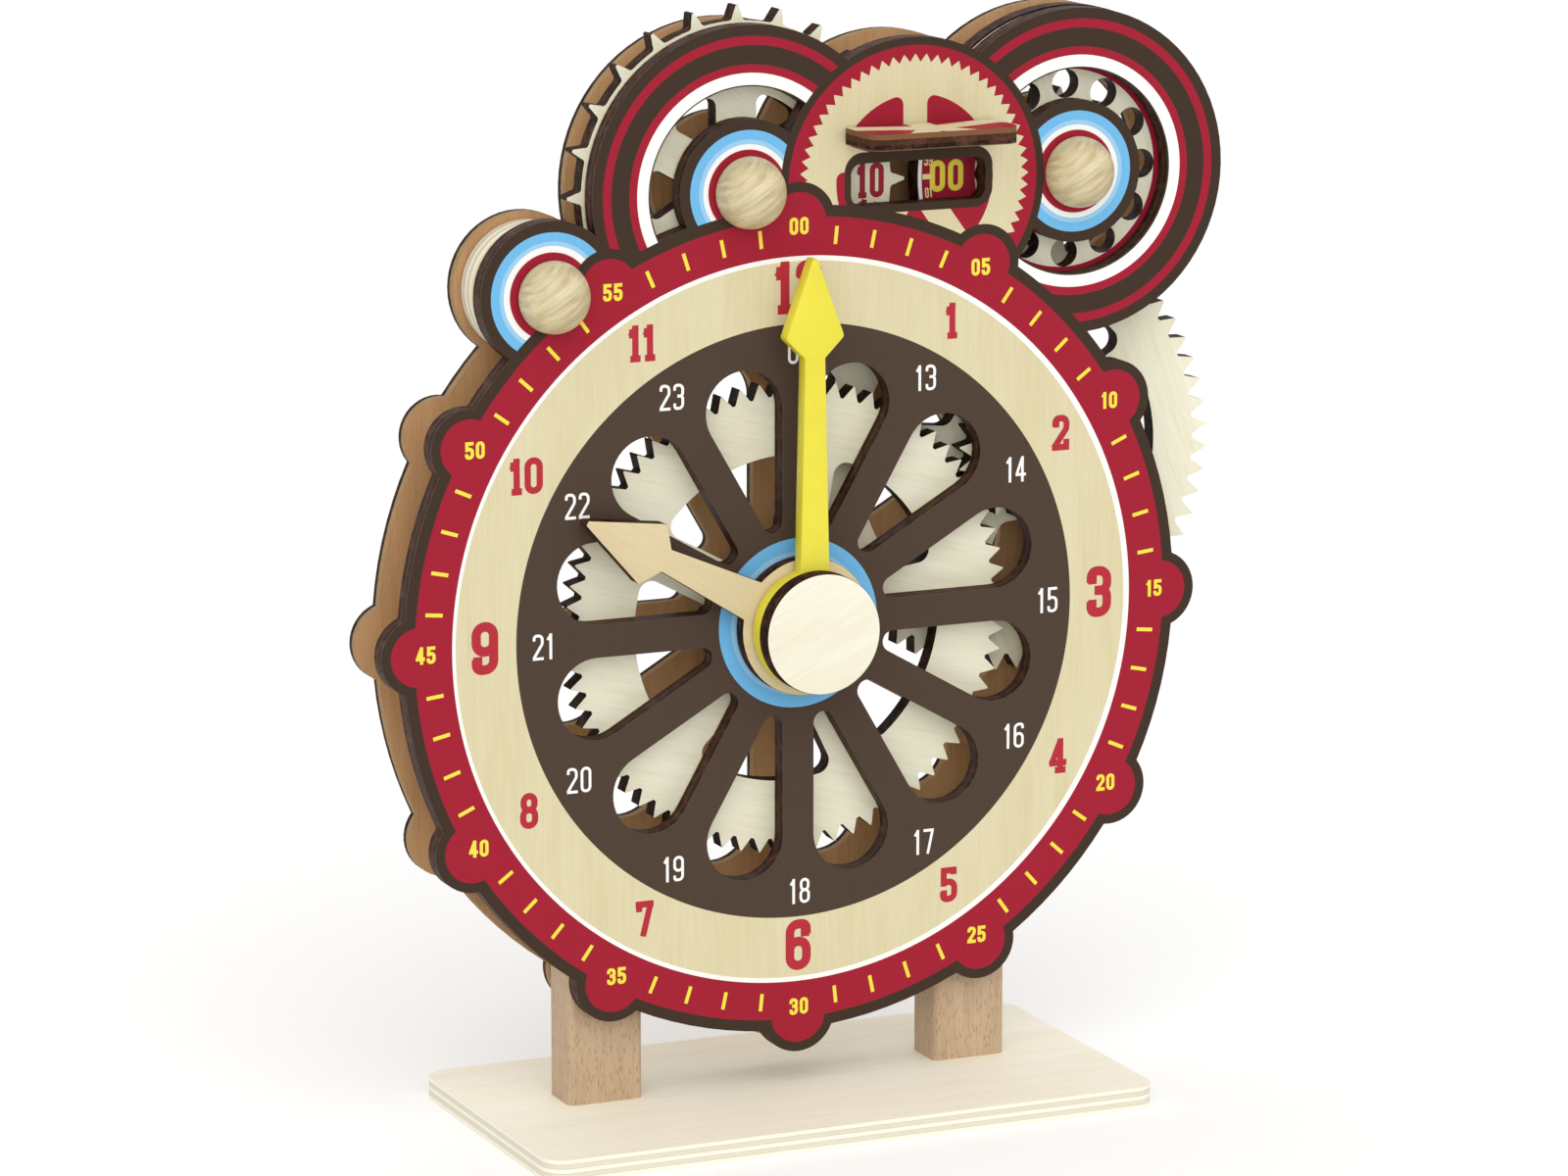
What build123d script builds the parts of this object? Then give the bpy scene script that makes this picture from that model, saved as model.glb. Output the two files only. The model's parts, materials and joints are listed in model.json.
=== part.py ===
from build123d import *
import os
from math import atan2, cos, degrees, radians, sin, sqrt

# A wooden teaching clock on a base board. Two laser-cut plates hold a wooden gear train between
# them: a minute hand and an hour hand on one centre, and two number wheels that show the time in
# a window. All sizes are in millimetres.
#
# Pieces are drawn in the dial's own frame: x to the right, y up, both from the dial's centre, and
# a depth that grows away from the viewer, from the front face of the front plate.

# Base board and posts
base_width = 200.0
base_depth = 104.5
base_thickness = 7.0
base_corner_radius = 7.0
post_width = 24.0
post_edge_radius = 2.0
post_spacing = 121.5
post_top_below_centre = 92.0
dial_centre_height = 151.0
front_face_forward = 7.0

# Plates and the gap that holds the wheels
front_plate_thickness = 6.0
plate_gap = 16.0
back_plate_thickness = 5.0

# Outline of both plates
dial_radius = 126.5
lobe_count = 12
lobe_radius = 12.0
lobe_circle_radius = 121.5
middle_disc_radius = 43.4
ring_radius = 49.5
ring_opening_radius = 31.3
ring_hub_radius = 21.6
small_disc_bearing = 203.4
small_disc_radius = 22.2
opening_edge_margin = 0.5

# Petal openings
petal_count = 12
petal_outer_radius = 12.5
petal_outer_distance = 67.8
petal_inner_radius = 3.3
petal_inner_distance = 32.4

# Display window and its shutter
window_width = 44.5
window_height = 12.8
window_to_middle = 1.75
window_below_rings = 0.1
window_corner_radius = 3.5
shutter_width = 49.0
shutter_reach = 20.0
shutter_thickness = 5.0
shutter_corner_radius = 5.0
shutter_above_window = 6.2
shutter_edge_gap = 0.3

# Shutter hinge
hinge_length = 32.0
hinge_knuckle_length = 10.0
hinge_knuckle_gap = 0.3
hinge_knuckle_radius = 1.2
hinge_pin_radius = 0.6
hinge_leaf_thickness = 0.8
hinge_flap_leaf_reach = 13.0
hinge_plate_leaf_height = 5.6
hinge_screw_spacing = 22.0
hinge_screw_radius = 0.8
hinge_screw_head_radius = 1.5
hinge_screw_head_height = 0.5
hinge_screw_length = 3.6

# Wheels, pinions and their layers
wheel_thickness = 6.0
wheel_standoff = 1.5
layer_gap = 1.0
train_distance = 88.5
intermediate_centre_bearing = 30.0
number_centre_bearing = 80.2
minute_pinion_teeth = 20
intermediate_wheel_teeth = 60
intermediate_pinion_teeth = 18
hour_wheel_teeth = 72
tooth_addendum = 0.85
tooth_dedendum = 1.30
tooth_tip_width = 0.20
tooth_root_width = 0.50
intermediate_wheel_bearing = 3.0
hour_wheel_rim_inner_radius = 50.2
hour_wheel_hub_radius = 22.0
hour_wheel_spoke_width = 14.5
hour_wheel_spoke_bearing = 8.0
intermediate_rim_inner_radius = 50.0
intermediate_hub_radius = 22.0
intermediate_spoke_width = 14.0
intermediate_spoke_bearing = 30.0
geared_wheel_spokes = 5
spoke_fillet = 4.0

# Number wheels
number_wheel_radius = 49.7
number_wheel_hole_count = 12
number_wheel_hole_radius = 4.45
number_wheel_hole_distance = 25.8
star_tip_radius = 54.5
number_wheels_clearance = 4.0
kick_tooth_clearance = 0.4
kick_tooth_base_width = 6.0
kick_tooth_tip_width = 2.0
kick_tooth_bearing = 166.0
star_tooth_count = 24
star_tooth_height = 4.5
star_tooth_base_width = 3.2
star_tooth_tip_width = 0.8
star_tooth_fillet = 1.3
star_rim_inner_radius = 29.0
star_hub_radius = 13.0
star_spoke_count = 6
star_spoke_width = 13.0
star_spoke_bearing = 30.9
star_spoke_fillet = 2.5

# Hands and knobs
hour_hand_thickness = 5.0
hour_hand_gap = 1.5
hour_hand_disc_radius = 21.0
hour_hand_length = 80.0
hour_hand_barb_distance = 56.3
hour_hand_barb_half_width = 10.0
hour_hand_notch_distance = 51.5
hour_hand_notch_half_width = 3.6
hour_hand_root_half_width = 6.8
hour_hand_lag = 2.3
minute_hand_thickness = 5.0
minute_hand_gap = 1.0
minute_hand_disc_radius = 18.3
minute_hand_length = 112.0
minute_hand_barb_distance = 88.5
minute_hand_barb_half_width = 9.5
minute_hand_notch_distance = 82.3
minute_hand_notch_half_width = 3.25
minute_hand_root_half_width = 4.8
hand_root_distance = 12.0
hand_tip_half_width = 0.8
hand_barb_fillet = 1.4
hub_knob_thickness = 6.5
hub_knob_radius = 18.4
ball_knob_radius = 10.8
ball_knob_gap = 0.6
ball_knob_centre_rise = 1.4
ball_knob_pocket_depth = 7.0

# Thumb roller
roller_radius = 20.0
roller_boss_radius = 9.8
roller_gap = 0.4

# Axles, sleeve, washers, collars
axle_radius = 4.0
sleeve_radius = 7.0
running_clearance = 0.08
glue_gap = 0.05
hub_knob_pocket_depth = 4.5
blind_pocket_depth = 3.0
washer_radius = 11.0
hub_washer_radius = 14.0
washer_clearance = 0.3
washer_end_play = 0.2
collar_radius = 9.0
collar_end_play = 0.3

# Spacer pillars
pillar_radius = 6.0
pillar_distance = 100.0
pillar_bearings = (180.0, 330.0)
top_pillar_rise = 32.5

# Wood screws
screw_shank_radius = 1.5
screw_head_radius = 3.2
screw_head_height = 2.2
screw_seat_gap = 0.05
back_screw_length = 16.0
base_screw_length = 24.0
post_screw_drop = 10.0
post_screw_spacing = 12.0

# Depths of the layers, and the centres that the wheels turn on
plates_inner_front = front_plate_thickness
plates_inner_back = front_plate_thickness + plate_gap
back_face = plates_inner_back + back_plate_thickness
first_layer_front = plates_inner_front + wheel_standoff
first_layer_back = first_layer_front + wheel_thickness
second_layer_front = first_layer_back + layer_gap
second_layer_back = second_layer_front + wheel_thickness
hour_hand_back = -hour_hand_gap
hour_hand_front = hour_hand_back - hour_hand_thickness
minute_hand_back = hour_hand_front - minute_hand_gap
minute_hand_front = minute_hand_back - minute_hand_thickness
hub_knob_front = minute_hand_front - hub_knob_thickness

post_centres_x = (-post_spacing / 2, post_spacing / 2)
post_depth = plate_gap
post_middle_depth = plates_inner_front + post_depth / 2
star_root_radius = star_tip_radius - star_tooth_height
train_module_fast = 2 * train_distance / (minute_pinion_teeth + intermediate_wheel_teeth)
train_module_slow = 2 * train_distance / (intermediate_pinion_teeth + hour_wheel_teeth)


def polar(radius, bearing):
    return (radius * cos(radians(bearing)), radius * sin(radians(bearing)))


def offset_from(centre, radius, bearing):
    """The point at a distance and a direction from a centre."""
    step_x, step_y = polar(radius, bearing)
    return (centre[0] + step_x, centre[1] + step_y)


# The train runs from the dial's centre to the intermediate wheel and on to the right ring. The
# left ring lies level with the right one, where the star just clears the minute number wheel.
dial_centre = (0.0, 0.0)
gear_centre = offset_from(dial_centre, train_distance, intermediate_centre_bearing)
right_ring_centre = offset_from(gear_centre, train_distance, number_centre_bearing)
ring_spacing = number_wheel_radius + number_wheels_clearance + star_tip_radius
left_ring_centre = offset_from(right_ring_centre, ring_spacing, 180)
middle_disc_centre = offset_from(right_ring_centre, ring_spacing / 2, 180)
roller_reach = star_tip_radius + number_wheels_clearance + roller_boss_radius
small_disc_centre = offset_from(left_ring_centre, roller_reach, small_disc_bearing)
window_x = middle_disc_centre[0] + window_to_middle
window_centre_height = middle_disc_centre[1] - window_below_rings
shutter_underside_height = window_centre_height + window_height / 2 + shutter_above_window
pillar_places = [polar(pillar_distance, bearing) for bearing in pillar_bearings]
pillar_places.append(offset_from(middle_disc_centre, top_pillar_rise, 90))

# The hinge's pin lies in front of the plate and below the open shutter. Its leaves are placed
# from the pin.
hinge_leaf_clear = hinge_knuckle_radius + hinge_knuckle_gap
hinge_leaf_top = hinge_knuckle_radius + hinge_knuckle_gap
hinge_pin_out = hinge_knuckle_radius + hinge_knuckle_gap
hinge_pin_height = shutter_underside_height - hinge_leaf_top


def bearing_between(start, end):
    """The direction from one centre to another, in degrees from +x."""
    return degrees(atan2(end[1] - start[1], end[0] - start[0]))


def meshed_bearing(teeth, tooth_bearing, direction, other_teeth):
    """Where a tooth of the other gear points, so that it falls in a gap of the first gear."""
    phase = (180 - teeth * (tooth_bearing - direction)) / other_teeth
    return direction + 180 + phase


def slab(sketch, front, back):
    """A flat piece cut to the sketch, from one depth to another."""
    return Pos(0, 0, -back) * extrude(sketch, amount=back - front)


def rod(centre, radius, front, back):
    return slab(Pos(*centre) * Circle(radius), front, back)


def tube(centre, radius, bore_radius, front, back):
    return rod(centre, radius, front, back) - rod(centre, bore_radius, front, back)


def place(shape):
    """From the dial's frame to the clock's frame, which stands on the base board's underside."""
    face = Plane(origin=(0, -front_face_forward, dial_centre_height), x_dir=(1, 0, 0), z_dir=(0, -1, 0))
    return face * shape


def toothed_outline(teeth, module, tooth_bearing):
    """A ring of straight-sided pointed teeth, as a laser cuts them in plywood."""
    pitch_radius = module * teeth / 2
    tip_radius = pitch_radius + tooth_addendum * module
    root_radius = pitch_radius - tooth_dedendum * module
    half_tip = degrees(tooth_tip_width * module / 2 / tip_radius)
    half_foot = 180 / teeth - degrees(tooth_root_width * module / 2 / root_radius)
    points = []
    for number in range(teeth):
        bearing = tooth_bearing + 360 * number / teeth
        points.append(polar(root_radius, bearing - half_foot))
        points.append(polar(tip_radius, bearing - half_tip))
        points.append(polar(tip_radius, bearing + half_tip))
        points.append(polar(root_radius, bearing + half_foot))
    return make_face(Polyline(*points, close=True))


def spoke_openings(rim_radius, hub_radius, count, width, bearing, corner):
    """The openings between straight spokes, with rounded corners."""
    ring = Circle(rim_radius) - Circle(hub_radius)
    for number in range(count):
        spoke = Pos(rim_radius / 2, 0) * Rectangle(rim_radius * 1.2, width)
        ring -= Rot(0, 0, bearing + 360 * number / count) * spoke
    return fillet(ring.vertices(), corner)


def plate_outline():
    """The dial with its lobes, the three discs above it and the small disc at its side."""
    outline = Circle(dial_radius)
    for number in range(lobe_count):
        outline += Pos(*polar(lobe_circle_radius, 360 * number / lobe_count)) * Circle(lobe_radius)
    for centre, radius in (
        (left_ring_centre, ring_radius),
        (right_ring_centre, ring_radius),
        (middle_disc_centre, middle_disc_radius),
        (small_disc_centre, small_disc_radius),
    ):
        outline += Pos(*centre) * Circle(radius)
    return outline


def petal_openings():
    ends = Pos(petal_outer_distance, 0) * Circle(petal_outer_radius)
    ends += Pos(petal_inner_distance, 0) * Circle(petal_inner_radius)
    petal = make_hull(ends.edges())
    half_step = 180 / petal_count
    return [Rot(0, 0, half_step + 360 * number / petal_count) * petal for number in range(petal_count)]


def ring_opening(centre):
    """The C-shaped opening round a ring's hub, which stops at the dial and at the middle disc."""
    opening = Pos(*centre) * (Circle(ring_opening_radius) - Circle(ring_hub_radius))
    opening -= Circle(dial_radius + opening_edge_margin)
    return opening - Pos(*middle_disc_centre) * Circle(middle_disc_radius)


def plate_sketch():
    sketch = plate_outline()
    for petal in petal_openings():
        sketch -= petal
    sketch -= ring_opening(left_ring_centre)
    return sketch - ring_opening(right_ring_centre)


def countersunk_screw(length, clearance=0.0):
    """A screw that points to +z with the face of its head at z = 0, or the hole that it sits in."""
    upwards = (Align.CENTER, Align.CENTER, Align.MIN)
    shank = Cylinder(screw_shank_radius + clearance, length, align=upwards)
    head = Cone(
        screw_head_radius + clearance,
        screw_shank_radius + clearance,
        screw_head_height,
        align=(Align.CENTER, Align.CENTER, Align.MIN),
    )
    return shank + head


def back_screw_places():
    places = list(pillar_places)
    for x in post_centres_x:
        for side in (-1, 1):
            places.append((x + side * post_screw_spacing / 2, -post_top_below_centre - post_screw_drop))
    return places


def back_screws(clearance=0.0):
    """Screws that go in from behind the back plate, in the dial's frame."""
    screw = countersunk_screw(back_screw_length, clearance)
    return [Pos(x, y, -back_face) * screw for x, y in back_screw_places()]


def base_screws(clearance=0.0):
    """Screws that come up through the base board into the posts, in the clock's frame."""
    screw = countersunk_screw(base_screw_length, clearance)
    y = post_middle_depth - front_face_forward
    half = post_screw_spacing / 2
    return [Pos(x + side * half, y, 0) * screw for x in post_centres_x for side in (-1, 1)]


def base_board():
    outline = RectangleRounded(base_width, base_depth, base_corner_radius)
    board = extrude(outline, amount=base_thickness)
    for hole in base_screws(screw_seat_gap):
        board -= hole
    return board


def post(x):
    top = dial_centre_height - post_top_below_centre
    height = top - base_thickness
    y = post_middle_depth - front_face_forward
    section = RectangleRounded(post_width, post_depth, post_edge_radius)
    solid = Pos(x, y, base_thickness) * extrude(section, amount=height)
    for hole in base_screws(screw_seat_gap):
        solid -= hole
    for hole in back_screws(screw_seat_gap):
        solid -= place(hole)
    return solid


def front_plate():
    sketch = plate_sketch()
    window = RectangleRounded(window_width, window_height, window_corner_radius)
    sketch -= Pos(window_x, window_centre_height) * window
    plate = slab(sketch, 0, front_plate_thickness)
    plate -= rod(dial_centre, sleeve_radius + running_clearance, 0, front_plate_thickness)
    for centre in (left_ring_centre, right_ring_centre, small_disc_centre):
        plate -= rod(centre, axle_radius + running_clearance, 0, front_plate_thickness)
    pocket_floor = front_plate_thickness - blind_pocket_depth
    plate -= rod(gear_centre, axle_radius + glue_gap, pocket_floor, front_plate_thickness)
    for hole in plate_hinge_screws(glue_gap):
        plate -= hole
    return place(plate)


def back_plate():
    plate = slab(plate_sketch(), plates_inner_back, back_face)
    for centre in (dial_centre, left_ring_centre, right_ring_centre, small_disc_centre):
        plate -= rod(centre, axle_radius + running_clearance, plates_inner_back, back_face)
    plate -= rod(gear_centre, axle_radius + glue_gap, plates_inner_back, back_face)
    for hole in back_screws(screw_seat_gap):
        plate -= hole
    return place(plate)


def spacer_pillars():
    pillars = []
    for centre in pillar_places:
        pillar = rod(centre, pillar_radius, plates_inner_front, plates_inner_back)
        for hole in back_screws(screw_seat_gap):
            pillar -= hole
        pillars.append(place(pillar))
    return Compound(pillars)


def hub_washers():
    """One washer on each face of the front plate, round the hour sleeve."""
    bore = sleeve_radius + washer_clearance
    outer = tube(dial_centre, hub_washer_radius, bore, hour_hand_back + washer_end_play, 0)
    inner_back = first_layer_front - washer_end_play
    inner = tube(dial_centre, hub_washer_radius, bore, plates_inner_front, inner_back)
    return Compound([place(outer), place(inner)])


def number_washers():
    """The washers that keep the two number wheels off the front plate."""
    bore = axle_radius + washer_clearance
    back = first_layer_front - washer_end_play
    washers = []
    for centre in (left_ring_centre, right_ring_centre):
        washers.append(place(tube(centre, washer_radius, bore, plates_inner_front, back)))
    return Compound(washers)


def train_washers():
    """The washers behind the minute pinion and behind the intermediate wheel."""
    bore = axle_radius + washer_clearance
    front = second_layer_back + washer_end_play
    washers = []
    for centre in (dial_centre, gear_centre):
        washers.append(place(tube(centre, washer_radius, bore, front, plates_inner_back)))
    return Compound(washers)


def spoked_wheel(centre, outline, openings, bore_radius, front, back):
    wheel = slab(Pos(*centre) * (outline - openings - Circle(bore_radius)), front, back)
    return place(wheel)


def pinion(centre, teeth, module, tooth_bearing, bore_radius, front):
    outline = toothed_outline(teeth, module, tooth_bearing) - Circle(bore_radius)
    return place(slab(Pos(*centre) * outline, front, front + wheel_thickness))


def intermediate_pinion_bearing():
    """The small pinion is glued on with one tooth pointing at the dial's centre."""
    return bearing_between(gear_centre, dial_centre)


def hour_wheel():
    direction = bearing_between(gear_centre, dial_centre)
    bearing = meshed_bearing(
        intermediate_pinion_teeth, intermediate_pinion_bearing(), direction, hour_wheel_teeth
    )
    openings = spoke_openings(
        hour_wheel_rim_inner_radius,
        hour_wheel_hub_radius,
        geared_wheel_spokes,
        hour_wheel_spoke_width,
        hour_wheel_spoke_bearing,
        spoke_fillet,
    )
    outline = toothed_outline(hour_wheel_teeth, train_module_slow, bearing)
    bore = sleeve_radius + glue_gap
    return spoked_wheel(dial_centre, outline, openings, bore, first_layer_front, first_layer_back)


def intermediate_wheel():
    openings = spoke_openings(
        intermediate_rim_inner_radius,
        intermediate_hub_radius,
        geared_wheel_spokes,
        intermediate_spoke_width,
        intermediate_spoke_bearing,
        spoke_fillet,
    )
    outline = toothed_outline(intermediate_wheel_teeth, train_module_fast, intermediate_wheel_bearing)
    bore = axle_radius + running_clearance
    return spoked_wheel(gear_centre, outline, openings, bore, second_layer_front, second_layer_back)


def intermediate_pinion():
    front = second_layer_front - wheel_thickness
    bore = axle_radius + running_clearance
    bearing = intermediate_pinion_bearing()
    return pinion(gear_centre, intermediate_pinion_teeth, train_module_slow, bearing, bore, front)


def fast_pinion(centre, front):
    """A pinion that meshes with the intermediate wheel, glued to its axle."""
    direction = bearing_between(gear_centre, centre)
    bearing = meshed_bearing(
        intermediate_wheel_teeth, intermediate_wheel_bearing, direction, minute_pinion_teeth
    )
    bore = axle_radius + glue_gap
    return pinion(centre, minute_pinion_teeth, train_module_fast, bearing, bore, front)


def kick_tooth():
    """The tooth on the minute number wheel's rim that moves the hour number wheel on."""
    tip = ring_spacing - star_tip_radius - kick_tooth_clearance
    half_base = kick_tooth_base_width / 2
    half_tip = kick_tooth_tip_width / 2
    foot = sqrt(number_wheel_radius ** 2 - half_base ** 2) - star_tooth_height
    outline = make_face(
        Polyline((foot, -half_base), (tip, -half_tip), (tip, half_tip), (foot, half_base), close=True)
    )
    return Rot(0, 0, kick_tooth_bearing) * outline


def minute_number_wheel():
    outline = Circle(number_wheel_radius) + kick_tooth() - Circle(axle_radius + glue_gap)
    for number in range(number_wheel_hole_count):
        place_of_hole = polar(number_wheel_hole_distance, 360 * number / number_wheel_hole_count)
        outline -= Pos(*place_of_hole) * Circle(number_wheel_hole_radius)
    return place(slab(Pos(*right_ring_centre) * outline, first_layer_front, first_layer_back))


def star_tooth():
    """One pointed tooth, with a hollow fillet at each side of its foot."""
    half_base = star_tooth_base_width / 2
    half_tip = star_tooth_tip_width / 2
    half_foot = half_base + star_tooth_fillet
    foot = sqrt(star_root_radius ** 2 - half_foot ** 2)
    shoulder = foot + star_tooth_fillet
    side = [
        (foot - star_tooth_height, half_foot),
        (shoulder, half_foot),
        (shoulder, half_base),
        (star_tip_radius, half_tip),
    ]
    mirrored = [(x, -y) for x, y in reversed(side)]
    tooth = make_face(Polyline(*side, *mirrored, close=True))
    tooth -= Pos(shoulder, half_foot) * Circle(star_tooth_fillet)
    return tooth - Pos(shoulder, -half_foot) * Circle(star_tooth_fillet)


def star_outline():
    """Spaced pointed teeth on a disc."""
    star = Circle(star_root_radius)
    for number in range(star_tooth_count):
        star += Rot(0, 0, 360 * number / star_tooth_count) * star_tooth()
    return star


def hour_number_wheel():
    openings = spoke_openings(
        star_rim_inner_radius,
        star_hub_radius,
        star_spoke_count,
        star_spoke_width,
        star_spoke_bearing,
        star_spoke_fillet,
    )
    bore = axle_radius + glue_gap
    outline = star_outline()
    return spoked_wheel(left_ring_centre, outline, openings, bore, first_layer_front, first_layer_back)


def hand(disc_radius, length, barb, notch, root_half_width, thickness, bore_radius):
    """A pointed hand on a round boss, pointing to 12."""
    barb_distance, barb_half_width = barb
    notch_distance, notch_half_width = notch
    side = [
        (root_half_width, hand_root_distance),
        (notch_half_width, notch_distance),
        (barb_half_width, barb_distance),
        (hand_tip_half_width, length),
    ]
    mirrored = [(-x, y) for x, y in reversed(side)]
    blade = make_face(Polyline(*side, *mirrored, close=True))
    barbs = [v for v in blade.vertices() if abs(abs(v.X) - barb_half_width) < hand_tip_half_width]
    blade = fillet(barbs, hand_barb_fillet)
    return extrude(Circle(disc_radius) + blade - Circle(bore_radius), amount=thickness)


def hour_hand():
    """The hour hand points to 10, less a small lag as a hand pushed on by eye has."""
    ten_o_clock = 60
    solid = hand(
        hour_hand_disc_radius,
        hour_hand_length,
        (hour_hand_barb_distance, hour_hand_barb_half_width),
        (hour_hand_notch_distance, hour_hand_notch_half_width),
        hour_hand_root_half_width,
        hour_hand_thickness,
        sleeve_radius + glue_gap,
    )
    return place(Pos(0, 0, -hour_hand_back) * Rot(0, 0, ten_o_clock + hour_hand_lag) * solid)


def minute_hand():
    solid = hand(
        minute_hand_disc_radius,
        minute_hand_length,
        (minute_hand_barb_distance, minute_hand_barb_half_width),
        (minute_hand_notch_distance, minute_hand_notch_half_width),
        minute_hand_root_half_width,
        minute_hand_thickness,
        axle_radius + glue_gap,
    )
    return place(Pos(0, 0, -minute_hand_back) * solid)


def hub_knob():
    disc = rod(dial_centre, hub_knob_radius, hub_knob_front, minute_hand_front)
    pocket_floor = minute_hand_front - hub_knob_pocket_depth
    return place(disc - rod(dial_centre, axle_radius + glue_gap, pocket_floor, minute_hand_front))


def ball_knob(centre):
    """Just over half a wooden ball, with a flat back and a blind hole for its axle."""
    x, y = centre
    flat = -ball_knob_gap
    ball = Pos(x, y, -flat + ball_knob_centre_rise) * Sphere(ball_knob_radius)
    knob = split(ball, bisect_by=Plane(origin=(x, y, -flat), z_dir=(0, 0, 1)), keep=Keep.TOP)
    return place(knob - rod(centre, axle_radius + glue_gap, flat - ball_knob_pocket_depth, flat))


def knob_axle(centre):
    """A dowel from a ball knob through both plates."""
    return place(rod(centre, axle_radius, -ball_knob_gap - ball_knob_pocket_depth, back_face))


def minute_arbor():
    return place(rod(dial_centre, axle_radius, minute_hand_front - hub_knob_pocket_depth, back_face))


def hour_sleeve():
    bore = axle_radius + running_clearance
    return place(tube(dial_centre, sleeve_radius, bore, hour_hand_front, first_layer_back))


def intermediate_axle():
    return place(rod(gear_centre, axle_radius, front_plate_thickness - blind_pocket_depth, back_face))


def collar(centre, front):
    """The ring that fills the space between a number wheel's stack and the back plate."""
    back = plates_inner_back - collar_end_play
    return place(tube(centre, collar_radius, axle_radius + glue_gap, front, back))


def thumb_roller():
    """A thick disc behind the small disc, with a narrow boss that clears the star's teeth."""
    boss_front = plates_inner_front + roller_gap
    disc_front = first_layer_back + roller_gap
    back = plates_inner_back - roller_gap
    roller = rod(small_disc_centre, roller_radius, disc_front, back)
    roller += rod(small_disc_centre, roller_boss_radius, boss_front, disc_front)
    return place(roller - rod(small_disc_centre, axle_radius + glue_gap, boss_front, back))


def along_hinge(profile, start, end):
    """A profile drawn as (up, out) from the pin, extruded along the hinge from its middle."""
    origin = (window_x + start, hinge_pin_height, hinge_pin_out)
    return Plane(origin=origin, x_dir=(0, 1, 0), z_dir=(1, 0, 0)) * extrude(profile, amount=end - start)


def strip(low, high, back, front):
    """A rectangle in the hinge's (up, out) plane."""
    return Pos((low + high) / 2, (back + front) / 2) * Rectangle(high - low, front - back)


def hinge_screw_stations():
    return (window_x - hinge_screw_spacing / 2, window_x + hinge_screw_spacing / 2)


def hinge_screw(clearance=0.0):
    """A small screw that points to -z, with the face of its head at z = 0."""
    top = (Align.CENTER, Align.CENTER, Align.MAX)
    head = Cylinder(hinge_screw_head_radius + clearance, hinge_screw_head_height, align=top)
    return head + Cylinder(hinge_screw_radius + clearance, hinge_screw_length, align=top)


def plate_hinge_screws(clearance=0.0):
    """The screws that hold the fixed leaf, in the dial's frame."""
    height = hinge_pin_height + (hinge_leaf_clear + hinge_plate_leaf_height) / 2
    return [Pos(x, height, hinge_leaf_thickness) * hinge_screw(clearance) for x in hinge_screw_stations()]


def flap_hinge_screws(clearance=0.0):
    """The screws that hold the moving leaf to the open shutter, in the dial's frame."""
    height = hinge_pin_height + hinge_leaf_top - hinge_leaf_thickness
    out = hinge_pin_out + (hinge_leaf_clear + hinge_flap_leaf_reach) / 2
    screw = Rot(90, 0, 0) * hinge_screw(clearance)
    return [Pos(x, height, out) * screw for x in hinge_screw_stations()]


def hinge_plate_leaf():
    """The fixed leaf on the front plate, with the middle knuckle."""
    half_knuckle = hinge_knuckle_length / 2
    half_length = hinge_length / 2
    back = -hinge_pin_out
    front = back + hinge_leaf_thickness
    sheet = strip(hinge_leaf_clear, hinge_plate_leaf_height, back, front)
    leaf = along_hinge(sheet, -half_length, half_length)
    leaf += along_hinge(strip(0, hinge_leaf_clear, back, front), -half_knuckle, half_knuckle)
    leaf += along_hinge(Circle(hinge_knuckle_radius), -half_knuckle, half_knuckle)
    leaf -= along_hinge(Circle(hinge_pin_radius + glue_gap), -half_knuckle, half_knuckle)
    for hole in plate_hinge_screws(glue_gap):
        leaf -= hole
    return place(leaf)


def hinge_flap_leaf():
    """The moving leaf under the open shutter, with the two outer knuckles."""
    half_length = hinge_length / 2
    inner = hinge_knuckle_length / 2 + hinge_knuckle_gap
    low = hinge_leaf_top - hinge_leaf_thickness
    leaf = along_hinge(
        strip(low, hinge_leaf_top, hinge_leaf_clear, hinge_flap_leaf_reach), -half_length, half_length
    )
    for start, end in ((-half_length, -inner), (inner, half_length)):
        leaf += along_hinge(strip(low, hinge_leaf_top, 0, hinge_leaf_clear), start, end)
        leaf += along_hinge(Circle(hinge_knuckle_radius), start, end)
        leaf -= along_hinge(Circle(hinge_pin_radius + running_clearance), start, end)
    for hole in flap_hinge_screws(glue_gap):
        leaf -= hole
    return place(leaf)


def hinge_pin():
    half_length = hinge_length / 2
    return place(along_hinge(Circle(hinge_pin_radius), -half_length, half_length))


def shutter_flap():
    back = hinge_leaf_thickness + shutter_edge_gap
    depth = shutter_reach - back
    height = shutter_underside_height + shutter_thickness / 2
    flap = Pos(window_x, height, back + depth / 2) * Box(shutter_width, shutter_thickness, depth)
    corners = flap.edges().filter_by(Axis.Y).sort_by(Axis.Z)[-2:]
    flap = fillet(corners, shutter_corner_radius)
    for hole in flap_hinge_screws(glue_gap):
        flap -= hole
    return place(flap)


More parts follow.
